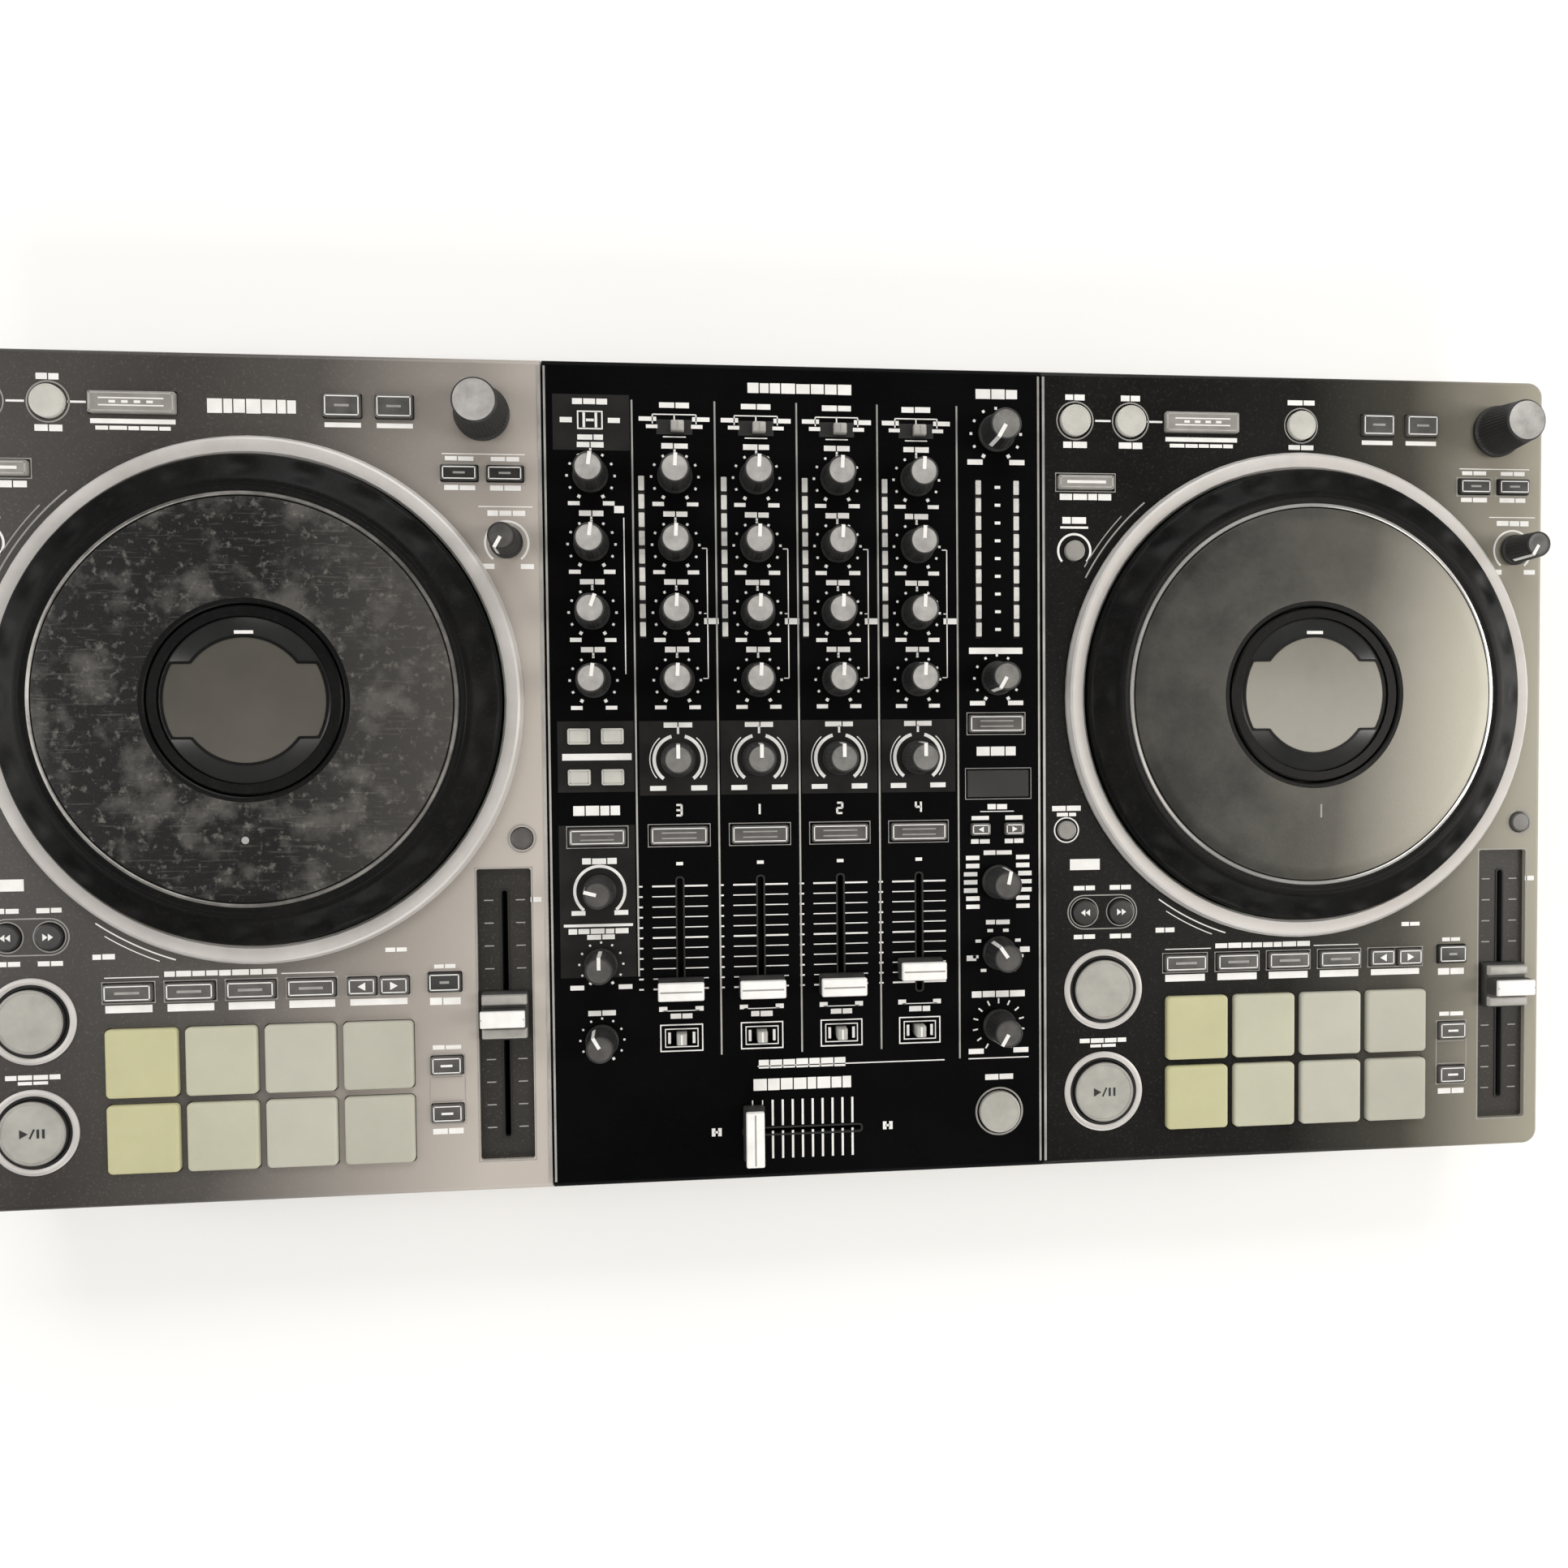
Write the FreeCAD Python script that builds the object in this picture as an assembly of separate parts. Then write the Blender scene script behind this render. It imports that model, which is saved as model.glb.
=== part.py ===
# Four-channel DJ controller: two decks with full-size jog wheels and a centre mixer.
# Frame: +X to the player's right, +Y away from the player, +Z up. Origin: centre of the footprint,
# on the surface that the rubber feet stand on. Millimetres.
import FreeCAD, Part
import os, math

V = FreeCAD.Vector
os.makedirs("parts", exist_ok=True)

# ---------------------------------------------------------------- driving dimensions
WIDTH = 708.0
DEPTH = 361.4
HEIGHT = 73.4
MIXER_W = 221.4
DECK_W = (WIDTH - MIXER_W) / 2.0          # 243.3
DECK_PITCH = DECK_W + MIXER_W             # 464.7, left deck to right deck
SEAM = 0.5                                # gap between deck shells and mixer panel

Z_FLOOR = 6.0                             # underside of the case, on 6 mm feet
FLOOR_T = 2.5
WALL_T = 3.0
Z_SPLIT = 36.0                            # parting line of bottom case and top shells
Z_TOP = 53.0                              # panel surface
PLATE_T = 3.5
EDGE_R = 2.5                              # rounding of the top outline
CORNER_R = 7.0
REAR_NOTCH = 10.0                         # connector wall set in under the rear edge
NOTCH_X = 325.0
BOARD_Z = 34.2
BOARD_T = 1.6
CLEAR = 0.4                               # control to panel opening, each side

# jog wheel
JOG_X = 122.5                             # from a deck's left edge
JOG_Y = 33.8
JOG_R = 102.9
JOG_PLATE_R = 84.0
JOG_TOP = 66.3
RING_IN, RING_OUT, RING_TOP = 103.7, 111.7, 57.4
HUB_R = 39.2
HUB_TOP = 66.4
POST_R = 20.0
LENS_R = 34.6

# rotary controls
KNOB_R0, KNOB_R1 = 7.7, 6.3
KNOB_Z0, KNOB_Z1 = 54.0, 69.6
SHAFT_R = 3.0

# faders
FADER_TRAVEL = 45.0
TEMPO_TRAVEL = 100.0
CAP_W, CAP_L, CAP_H = 20.5, 9.5, 11.0     # channel fader cap: across, along, tall

# buttons
BTN_UP = 1.6                              # how far a small key stands above the panel
PAD_UP = 2.2
PAD = 29.3
PAD_PITCH_X, PAD_PITCH_Y = 32.45, 32.35
PAD_X0, PAD_Y0 = 72.8, -118.8             # first pad's centre

COLS = [-90.0, -53.6, -17.9, 17.9, 53.6, 90.0]
ROWS = [131.0, 101.4, 71.8, 42.3]
CH_NAME = ["3", "1", "2", "4"]


# ---------------------------------------------------------------- shape helpers
def box(x0, x1, y0, y1, z0, z1):
    return Part.makeBox(x1 - x0, y1 - y0, z1 - z0, V(x0, y0, z0))


def cyl(x, y, z0, z1, r):
    return Part.makeCylinder(r, z1 - z0, V(x, y, z0))


def cyly(x, z, y0, y1, r):
    return Part.makeCylinder(r, y1 - y0, V(x, y0, z), V(0, 1, 0))


def cone(x, y, z0, z1, r0, r1):
    return Part.makeCone(r0, r1, z1 - z0, V(x, y, z0))


def rbox(x0, x1, y0, y1, z0, z1, r):
    r = min(r, (x1 - x0) / 2 - 0.01, (y1 - y0) / 2 - 0.01)
    k = r * math.sqrt(0.5)
    e = []

    def seg(a, b):
        if (a - b).Length > 1e-6:
            e.append(Part.LineSegment(a, b).toShape())

    def arc(cx, cy, a0):
        p = [V(cx + r * math.cos(math.radians(a)), cy + r * math.sin(math.radians(a)), z0) for a in (a0, a0 + 45, a0 + 90)]
        e.append(Part.Arc(p[0], p[1], p[2]).toShape())

    seg(V(x0 + r, y0, z0), V(x1 - r, y0, z0)); arc(x1 - r, y0 + r, -90)
    seg(V(x1, y0 + r, z0), V(x1, y1 - r, z0)); arc(x1 - r, y1 - r, 0)
    seg(V(x1 - r, y1, z0), V(x0 + r, y1, z0)); arc(x0 + r, y1 - r, 90)
    seg(V(x0, y1 - r, z0), V(x0, y0 + r, z0)); arc(x0 + r, y0 + r, 180)
    w = Part.Wire(Part.__sortEdges__(e))
    return Part.Face(w).extrude(V(0, 0, z1 - z0))


def rbc(cx, cy, w, d, z0, z1, r):
    return rbox(cx - w / 2, cx + w / 2, cy - d / 2, cy + d / 2, z0, z1, r)


def revolve(x, y, profile):
    pts = [V(x + r, y, z) for r, z in profile]
    w = Part.makePolygon(pts + [pts[0]])
    return Part.Face(w).revolve(V(x, y, 0), V(0, 0, 1), 360)


def soften_top(shape, z, r, tol=0.05):
    edges = [e for e in shape.Edges if all(abs(v.Point.z - z) < tol for v in e.Vertexes) and abs(e.CenterOfMass.z - z) < tol]
    try:
        out = shape.makeFillet(r, edges)
        if out.isValid() and out.Volume > 0:
            return out
    except Exception:
        pass
    return shape


def fuse(items):
    out = items[0]
    if len(items) > 1:
        out = out.multiFuse(items[1:])
    out = out.removeSplitter()
    return out


def cut(shape, tools):
    return shape.cut(tools) if isinstance(tools, list) else shape.cut([tools])


WRITTEN = []


def write(name, shapes):
    solids = []
    for s in shapes if isinstance(shapes, list) else [shapes]:
        solids += s.Solids
    for s in solids:
        if not s.isValid() or s.Volume <= 0:
            print("BAD SOLID in", name, s.Volume)
    Part.makeCompound(solids).exportStep("parts/%s.step" % name)
    WRITTEN.append((name, len(solids)))


# ---------------------------------------------------------------- tables of controls
# deck controls, measured from a deck's left edge. name: (x, y, w, d) for keys, (x, y, r) for round keys
DECK_RECT = {
    "loop_exit": (75.3, 158.7, 35.0, 9.2),
    "key_shift_a": (160.2, 158.9, 15.6, 9.8),
    "key_shift_b": (181.7, 158.9, 15.6, 9.8),
    "back": (208.3, 131.3, 15.4, 6.8),
    "view": (227.6, 131.3, 15.4, 6.8),
    "shift": (20.7, 130.9, 26.0, 6.4),
    "mode_1": (67.6, -88.8, 20.0, 7.6),
    "mode_2": (92.7, -88.8, 20.0, 7.6),
    "mode_3": (117.6, -88.8, 20.0, 7.6),
    "mode_4": (142.6, -88.8, 20.0, 7.6),
    "page_left": (163.6, -88.8, 12.0, 7.6),
    "page_right": (177.2, -88.8, 12.0, 7.6),
    "sync": (198.4, -88.0, 14.0, 8.4),
    "param_up": (198.7, -124.4, 13.4, 8.0),
    "param_down": (198.7, -145.3, 13.4, 8.0),
}
DECK_ROUND = {
    "loop_in": (15.9, 158.6, 7.0),
    "loop_out": (41.8, 158.7, 7.0),
    "quantize": (123.1, 158.2, 6.6),
    "slip": (15.4, 100.1, 4.6),
    "vinyl": (11.4, -26.5, 4.2),
    "key_lock": (232.2, -26.2, 4.6),
    "search_back": (19.7, -64.3, 5.6),
    "search_on": (36.7, -64.3, 5.6),
}
TRANSPORT = {"cue": (28.4, -99.9, 13.9), "play": (28.4, -147.0, 13.9)}
TRANSPORT_RING = 18.2
BROWSE = (218.3, 156.6)
JOG_ADJUST = (227.8, 101.8)
TEMPO_X, TEMPO_Y0, TEMPO_Y1, TEMPO_W = 224.0, -167.0, -39.3, 23.4
TEMPO_MID = -103.2

MIX_RECT = {
    "fx_1": (-96.7, 17.9, 9.8, 7.0), "fx_2": (-82.2, 17.9, 9.8, 7.0),
    "fx_3": (-96.7, 0.0, 9.8, 7.0), "fx_4": (-82.2, 0.0, 9.8, 7.0),
    "sampler_cue": (-89.3, -26.2, 24.6, 7.4),
    "cue_3": (COLS[1], -26.0, 25.2, 8.0), "cue_1": (COLS[2], -26.0, 25.2, 8.0),
    "cue_2": (COLS[3], -26.0, 25.2, 8.0), "cue_4": (COLS[4], -26.0, 25.2, 8.0),
    "master_cue": (89.5, 22.2, 25.2, 8.0),
    "beat_left": (82.0, -25.5, 9.0, 5.6), "beat_right": (97.6, -25.5, 9.0, 5.6),
}
FX_ON = (90.2, -154.4, 9.4)

# rotary controls: node name, x, y, pointer angle (degrees clockwise from 12 o'clock), size factor
KNOBS = []
for c, nm in zip(COLS[1:5], CH_NAME):
    for row, fn in zip(ROWS, ("trim", "eq_high", "eq_mid", "eq_low")):
        KNOBS.append(("knob_%s_ch%s" % (fn, nm), c, row, 0.0, 1.0))
    KNOBS.append(("knob_color_ch%s" % nm, c, 7.4, 0.0, 1.0))
for row, fn, a in zip(ROWS, ("mic1_level", "mic2_level", "mic_high", "mic_low"), (8.0, 8.0, 20.0, 8.0)):
    KNOBS.append(("knob_%s" % fn, COLS[0], row, a, 1.0))
KNOBS += [
    ("knob_sampler_level", -88.6, -49.9, -75.0, 0.95),
    ("knob_phones_mix", -88.4, -82.2, 0.0, 0.95),
    ("knob_phones_level", -88.4, -115.8, -30.0, 0.95),
    ("knob_master_level", 90.0, 152.0, -150.0, 1.1),
    ("knob_booth_level", 90.0, 42.6, -150.0, 1.0),
    ("knob_fx_select", 90.0, -49.3, 12.0, 1.0),
    ("knob_fx_channel", 90.0, -81.6, -35.0, 1.0),
    ("knob_fx_depth", 90.1, -114.8, -150.0, 1.0),
]
for side, x0 in (("left", -WIDTH / 2), ("right", MIXER_W / 2)):
    KNOBS.append(("knob_jog_adjust_%s" % side, x0 + JOG_ADJUST[0], JOG_ADJUST[1], -150.0, 0.92))

SIDES = (("left", -WIDTH / 2), ("right", MIXER_W / 2))
SWITCH_Y, SWITCH_W, SWITCH_D = 152.6, 13.0, 4.6      # input selectors
ASSIGN_Y, ASSIGN_W, ASSIGN_D = -115.9, 12.5, 6.4     # crossfader assign switches
METER_X = [-68.3, -32.3, 3.5, 39.3, 81.9, 99.3]
METER_Y0, METER_Y1, METER_W = 60.6, 132.0, 3.2
FX_DISPLAY = (76.2, 104.6, -11.0, 1.2)
FADER_MID = -71.3
FADER_REST = {"3": -22.0, "1": -22.0, "2": -22.0, "4": -16.0}  # from the middle of the travel
XF_Y = -159.2
XF_REST = -22.0
BOSSES = [(-341, -168), (-341, 8), (-343, 115), (-116.5, -171), (-88, 155), (341, 155), (341, 8), (341, -168), (104, 145), (116.5, -171), (-100, -171), (100, -171)]


# ---------------------------------------------------------------- top shells
def control_holes_deck(x0):
    t = []
    zb, zt = Z_TOP - PLATE_T - 1, Z_TOP + 1
    for x, y, w, d in DECK_RECT.values():
        t.append(rbc(x0 + x, y, w + 2 * CLEAR, d + 2 * CLEAR, zb, zt, 0.9))
    for n, (x, y, r) in DECK_ROUND.items():
        if n == "quantize" and x0 < 0:
            continue
        t.append(cyl(x0 + x, y, zb, zt, r + CLEAR))
    for x, y, r in TRANSPORT.values():
        t.append(cyl(x0 + x, y, zb, zt, r + CLEAR))
    for i in range(4):
        for j in range(2):
            t.append(rbc(x0 + PAD_X0 + i * PAD_PITCH_X, PAD_Y0 - j * PAD_PITCH_Y, PAD + 2 * CLEAR, PAD + 2 * CLEAR, zb, zt, 2.2))
    t.append(cyl(x0 + BROWSE[0], BROWSE[1], zb, zt, SHAFT_R + 0.8))
    t.append(cyl(x0 + JOG_ADJUST[0], JOG_ADJUST[1], zb, zt, SHAFT_R + 0.8))
    t.append(cyl(x0 + JOG_X, JOG_Y, zb, zt, RING_IN + 0.8))
    t.append(rbox(x0 + TEMPO_X - TEMPO_W / 2, x0 + TEMPO_X + TEMPO_W / 2, TEMPO_Y0, TEMPO_Y1, Z_TOP - 2.0, zt, 1.2))
    t.append(rbc(x0 + TEMPO_X, TEMPO_MID, 2.6, TEMPO_TRAVEL + 8.5, zb, zt, 1.2))
    return t


def boss_solid(x, y):
    return cut(cyl(x, y, 30.4, Z_TOP - PLATE_T + 0.4, 4.0), cyl(x, y, 29, 46.0, 1.6))


def deck_shell(side):
    x0 = -WIDTH / 2 if side == "left" else MIXER_W / 2
    x1 = x0 + DECK_W
    a, b = (x0, x1 - SEAM / 2) if side == "left" else (x0 + SEAM / 2, x1)
    # block whose outer corners and top outline are rounded; the seam side stays square
    if side == "left":
        blk = rbox(a, b + 30, -DEPTH / 2, DEPTH / 2, Z_SPLIT, Z_TOP, CORNER_R)
        blk = soften_top(blk, Z_TOP, EDGE_R)
        blk = cut(blk, box(b, b + 40, -DEPTH, DEPTH, 0, 100))
        cav = rbox(a + WALL_T, b + 30, -DEPTH / 2 + WALL_T, DEPTH / 2 - WALL_T, Z_SPLIT - 1, Z_TOP - PLATE_T, CORNER_R - WALL_T)
    else:
        blk = rbox(a - 30, b, -DEPTH / 2, DEPTH / 2, Z_SPLIT, Z_TOP, CORNER_R)
        blk = soften_top(blk, Z_TOP, EDGE_R)
        blk = cut(blk, box(a - 40, a, -DEPTH, DEPTH, 0, 100))
        cav = rbox(a - 30, b - WALL_T, -DEPTH / 2 + WALL_T, DEPTH / 2 - WALL_T, Z_SPLIT - 1, Z_TOP - PLATE_T, CORNER_R - WALL_T)
    shell = cut(blk, cav)
    bs = [boss_solid(x, y) for x, y in BOSSES if a < x < b]
    bs.append(box(max(a, -NOTCH_X - 4), min(b, NOTCH_X + 4), DEPTH / 2 - REAR_NOTCH - 4.0, DEPTH / 2 - 1.0, Z_SPLIT, Z_SPLIT + 2.0))
    shell = fuse([shell] + bs)
    return cut(shell, control_holes_deck(x0))


write("deck_panels", [deck_shell("left"), deck_shell("right")])

a, b = -MIXER_W / 2 + SEAM / 2, MIXER_W / 2 - SEAM / 2
blk = rbox(a - 30, b + 30, -DEPTH / 2, DEPTH / 2, Z_SPLIT, Z_TOP, CORNER_R)
blk = soften_top(blk, Z_TOP, EDGE_R)
blk = cut(blk, [box(b, b + 40, -DEPTH, DEPTH, 0, 100), box(a - 40, a, -DEPTH, DEPTH, 0, 100)])
blk = cut(blk, box(a - 1, b + 1, -DEPTH / 2 + WALL_T, DEPTH / 2 - WALL_T, Z_SPLIT - 1, Z_TOP - PLATE_T))
blk = fuse([blk, box(a, b, DEPTH / 2 - REAR_NOTCH - 4.0, DEPTH / 2 - 1.0, Z_SPLIT, Z_SPLIT + 2.0)] + [boss_solid(x, y) for x, y in BOSSES if a < x < b])
zb, zt = Z_TOP - PLATE_T - 1, Z_TOP + 1
t = []
for x, y, w, d in MIX_RECT.values():
    t.append(rbc(x, y, w + 2 * CLEAR, d + 2 * CLEAR, zb, zt, 0.9))
t.append(cyl(FX_ON[0], FX_ON[1], zb, zt, FX_ON[2] + CLEAR))
for n, x, y, ang, k in KNOBS:
    if "jog_adjust" not in n:
        t.append(cyl(x, y, zb, zt, SHAFT_R + 0.8))
for c in COLS[1:5]:
    t.append(rbc(c, FADER_MID, 2.6, FADER_TRAVEL + 8, zb, zt, 1.2))
    t.append(rbc(c, SWITCH_Y, SWITCH_W, SWITCH_D, zb, zt, 0.8))
    t.append(rbc(c, ASSIGN_Y, ASSIGN_W, ASSIGN_D, zb, zt, 0.8))
t.append(rbc(0, XF_Y, FADER_TRAVEL + 8, 2.6, zb, zt, 1.2))
for x in METER_X:
    t.append(box(x - METER_W / 2, x + METER_W / 2, METER_Y0, METER_Y1, zb, zt))
t.append(box(FX_DISPLAY[0], FX_DISPLAY[1], FX_DISPLAY[2], FX_DISPLAY[3], zb, zt))
write("mixer_panel", cut(blk, t))


# ---------------------------------------------------------------- bottom case
def tray(outset, z0, z1, chamfer):
    hx, hy = WIDTH / 2 - 2.0 + outset, DEPTH / 2 - 2.0 + outset
    s = rbox(-hx, hx, -hy, hy, z0, z1, CORNER_R + outset)
    edges = [e for e in s.Edges if abs(e.CenterOfMass.z - z0) < 0.01]
    s = s.makeChamfer(chamfer, edges)
    n = NOTCH_X - outset
    return cut(s, box(-n, n, hy - REAR_NOTCH, hy + 50, z0 - 5, z1 + 5))


outer = tray(0, Z_FLOOR, Z_SPLIT - 0.2, 5.0)
inner = tray(-WALL_T, Z_FLOOR + FLOOR_T, Z_SPLIT + 1, 3.0)
case = cut(outer, inner)
posts = []
for x, y in BOSSES:
    posts.append(cyl(x, y, Z_FLOOR + FLOOR_T - 0.3, 30.2, 4.0))
for side, x0 in SIDES:                                   # ribs that stiffen the floor under the jog wheels
    posts.append(cut(cyl(x0 + JOG_X, JOG_Y, Z_FLOOR + FLOOR_T - 0.3, 15.0, 72.0), cyl(x0 + JOG_X, JOG_Y, 5, 16, 70.0)))
case = fuse([case] + posts)
tools = [cyl(x, y, 0, 31, 1.7) for x, y in BOSSES]
for side, x0 in SIDES:                                   # cooling slots in the floor
    for i in range(12):
        tools.append(rbc(x0 + 60 + i * 11.0, -125.0, 3.0, 46.0, Z_FLOOR - 1, Z_FLOOR + FLOOR_T + 1, 1.4))
for i in range(9):
    tools.append(rbc(-44 + i * 11.0, 60.0, 3.0, 60.0, Z_FLOOR - 1, Z_FLOOR + FLOOR_T + 1, 1.4))

# connector wall, outer face at y = REAR_Y
REAR_Y = DEPTH / 2 - 2.0 - REAR_NOTCH
WALL_IN = REAR_Y - WALL_T
ZC = 21.5
XLR_X = (-150.0, -112.0)
TRS_X = (-226.0, -200.0)
COMBO_X = 152.0
MIC2_X = 190.0
RCA_X = (-62.0, -14.0, 24.0, 62.0, 104.0)
RCA_Z = (14.8, 28.6)
USB_X = (226.0, 250.0)
DC_X = 276.0
POWER_X = 302.0
GND_X = 83.0
for x in XLR_X + (COMBO_X,):
    tools.append(cyly(x, ZC, WALL_IN - 2, REAR_Y + 2, 12.2))
for x in TRS_X + (MIC2_X,):
    tools.append(cyly(x, ZC, WALL_IN - 2, REAR_Y + 2, 5.7))
for x in RCA_X:
    for z in RCA_Z:
        tools.append(cyly(x, z, WALL_IN - 2, REAR_Y + 2, 5.4))
for x in USB_X:
    tools.append(box(x - 6.4, x + 6.4, WALL_IN - 2, REAR_Y + 2, ZC - 5.9, ZC + 5.9))
tools.append(cyly(DC_X, ZC, WALL_IN - 2, REAR_Y + 2, 5.2))
tools.append(box(POWER_X - 6.9, POWER_X + 6.9, WALL_IN - 2, REAR_Y + 2, ZC - 9.9, ZC + 9.9))
tools.append(cyly(GND_X, ZC, WALL_IN - 2, REAR_Y + 2, 2.7))
tools.append(rbox(-300.0, -292.8, 0, 3.0, 0, 20, 1.4).copy())
lock = tools.pop()
lock.rotate(V(0, 0, 0), V(1, 0, 0), 90)
lock.translate(V(0, REAR_Y + 5, ZC - 1.5))
tools.append(lock)
# front wall: headphone sockets
FRONT_Y = -(DEPTH / 2 - 2.0)
PHONES_X, MINI_X = -322.0, -300.0
tools.append(cyly(PHONES_X, ZC, FRONT_Y - 2, FRONT_Y + WALL_T + 2, 5.7))
tools.append(cyly(MINI_X, ZC, FRONT_Y - 2, FRONT_Y + WALL_T + 2, 3.7))
write("bottom_case", cut(case, tools))


# ---------------------------------------------------------------- connectors
conn = []
for x in XLR_X:                                          # three-pin output sockets with male pins
    body = cyly(x, ZC, REAR_Y - 20, REAR_Y + 1.6, 11.9)
    flange = cyly(x, ZC, REAR_Y + 0.05, REAR_Y + 1.6, 13.2)
    sock = cut(fuse([body, flange]), cyly(x, ZC, REAR_Y - 15, REAR_Y + 3, 9.6))
    pins = [cyly(x + 5.2 * math.sin(math.radians(q)), ZC + 5.2 * math.cos(math.radians(q)), REAR_Y - 15.5, REAR_Y - 3.5, 1.2) for q in (-60, 60, 180)]
    conn.append(fuse([sock] + pins))
body = cyly(COMBO_X, ZC, REAR_Y - 24, REAR_Y + 1.6, 11.9)
flange = cyly(COMBO_X, ZC, REAR_Y + 0.05, REAR_Y + 1.6, 13.2)
combo = cut(fuse([body, flange]), [cyly(COMBO_X, ZC, REAR_Y - 20, REAR_Y + 3, 3.3)] +
            [cyly(COMBO_X + 6.4 * math.sin(math.radians(q)), ZC + 6.4 * math.cos(math.radians(q)), REAR_Y - 12, REAR_Y + 3, 1.5) for q in (-60, 60, 180)])
conn.append(combo)
for x in TRS_X + (MIC2_X,):                              # 6.35 mm jack sockets
    s = fuse([cyly(x, ZC, REAR_Y - 3.2, REAR_Y + 1.0, 5.4), cyly(x, ZC, REAR_Y + 0.05, REAR_Y + 2.4, 7.4), box(x - 7.5, x + 7.5, REAR_Y - 26, REAR_Y - WALL_T - 0.2, ZC - 7, ZC + 7)])
    conn.append(cut(s, cyly(x, ZC, REAR_Y - 22, REAR_Y + 4, 3.3)))
for x in RCA_X:                                          # phono sockets, stacked in pairs
    for z in RCA_Z:
        s = fuse([cyly(x, z, REAR_Y - 8, REAR_Y + 1.2, 5.1), cyly(x, z, REAR_Y, REAR_Y + 9.0, 4.15)])
        conn.append(cut(s, [cyly(x, z, REAR_Y - 6, REAR_Y + 10, 1.7)]))
for x in USB_X:                                          # square USB sockets with their tongue
    s = cut(box(x - 6.1, x + 6.1, REAR_Y - 16, REAR_Y + 0.6, ZC - 5.6, ZC + 5.6), box(x - 4.3, x + 4.3, REAR_Y - 10, REAR_Y + 2, ZC - 4.0, ZC + 4.0))
    conn.append(fuse([s, box(x - 2.8, x + 2.8, REAR_Y - 10.5, REAR_Y - 0.8, ZC - 1.6, ZC + 1.6)]))
s = cut(cyly(DC_X, ZC, REAR_Y - 13, REAR_Y + 0.8, 4.9), cyly(DC_X, ZC, REAR_Y - 9.5, REAR_Y + 2, 2.85))
conn.append(fuse([s, cyly(DC_X, ZC, REAR_Y - 10, REAR_Y - 0.5, 1.0)]))
conn.append(fuse([cyly(GND_X, ZC, REAR_Y - 6, REAR_Y + 8.2, 2.4), cyly(GND_X, ZC, REAR_Y + 1.6, REAR_Y + 7.0, 5.0)]))
# front headphone sockets
s = fuse([cyly(PHONES_X, ZC, FRONT_Y - 0.9, FRONT_Y + 3.2, 5.4), box(PHONES_X - 7.5, PHONES_X + 7.5, FRONT_Y + WALL_T + 0.2, FRONT_Y + 26, ZC - 7, ZC + 7), cyly(PHONES_X, ZC, FRONT_Y - 1.4, FRONT_Y - 0.05, 7.2)])
conn.append(cut(s, cyly(PHONES_X, ZC, FRONT_Y - 4, FRONT_Y + 22, 3.3)))
s = fuse([cyly(MINI_X, ZC, FRONT_Y - 0.9, FRONT_Y + 3.2, 3.4), box(MINI_X - 4, MINI_X + 4, FRONT_Y + WALL_T + 0.2, FRONT_Y + 15, ZC - 3.6, ZC + 3.6), cyly(MINI_X, ZC, FRONT_Y - 1.2, FRONT_Y - 0.05, 4.8)])
conn.append(cut(s, cyly(MINI_X, ZC, FRONT_Y - 4, FRONT_Y + 13, 1.85)))
# power switch housing
conn.append(cut(box(POWER_X - 6.6, POWER_X + 6.6, REAR_Y - 16, REAR_Y + 1.2, ZC - 9.6, ZC + 9.6), box(POWER_X - 5.2, POWER_X + 5.2, REAR_Y - 12, REAR_Y + 2, ZC - 8.2, ZC + 8.2)))
write("socket_set", conn)
# rocker of the power switch, tilted to its off side
rock = box(POWER_X - 4.8, POWER_X + 4.8, REAR_Y - 6.5, REAR_Y + 1.4, ZC - 7.0, ZC + 7.0)
wedge_a = Part.Face(Part.makePolygon([V(POWER_X - 5, REAR_Y + 1.6, ZC + 7.2), V(POWER_X - 5, REAR_Y + 1.6, ZC), V(POWER_X - 5, REAR_Y - 0.2, ZC), V(POWER_X - 5, REAR_Y + 1.6, ZC + 7.2)])).extrude(V(10, 0, 0))
rock = cut(rock, wedge_a)
rock.rotate(V(POWER_X, REAR_Y - 4.0, ZC), V(1, 0, 0), -6)
write("power_rocker", rock)

# ---------------------------------------------------------------- feet and screws
feet = []
for x in (-312.0, 0.0, 312.0):
    for y in (-145.0, 140.0):
        f = fuse([cone(x, y, 0, 6.0, 11.5, 13.5)])
        feet.append(cut(f, cyl(x, y, -1, 2.5, 5.0)))
write("rubber_feet", feet)
screws = []
for x, y in BOSSES:
    h = fuse([cyl(x, y, Z_FLOOR - 1.9, Z_FLOOR - 0.02, 3.0), cyl(x, y, Z_FLOOR - 0.5, 42.0, 1.5)])
    screws.append(cut(h, [box(x - 0.4, x + 0.4, y - 2, y + 2, 3, Z_FLOOR - 1.0), box(x - 2, x + 2, y - 0.4, y + 0.4, 3, Z_FLOOR - 1.0)]))
write("case_screws", screws)

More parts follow.
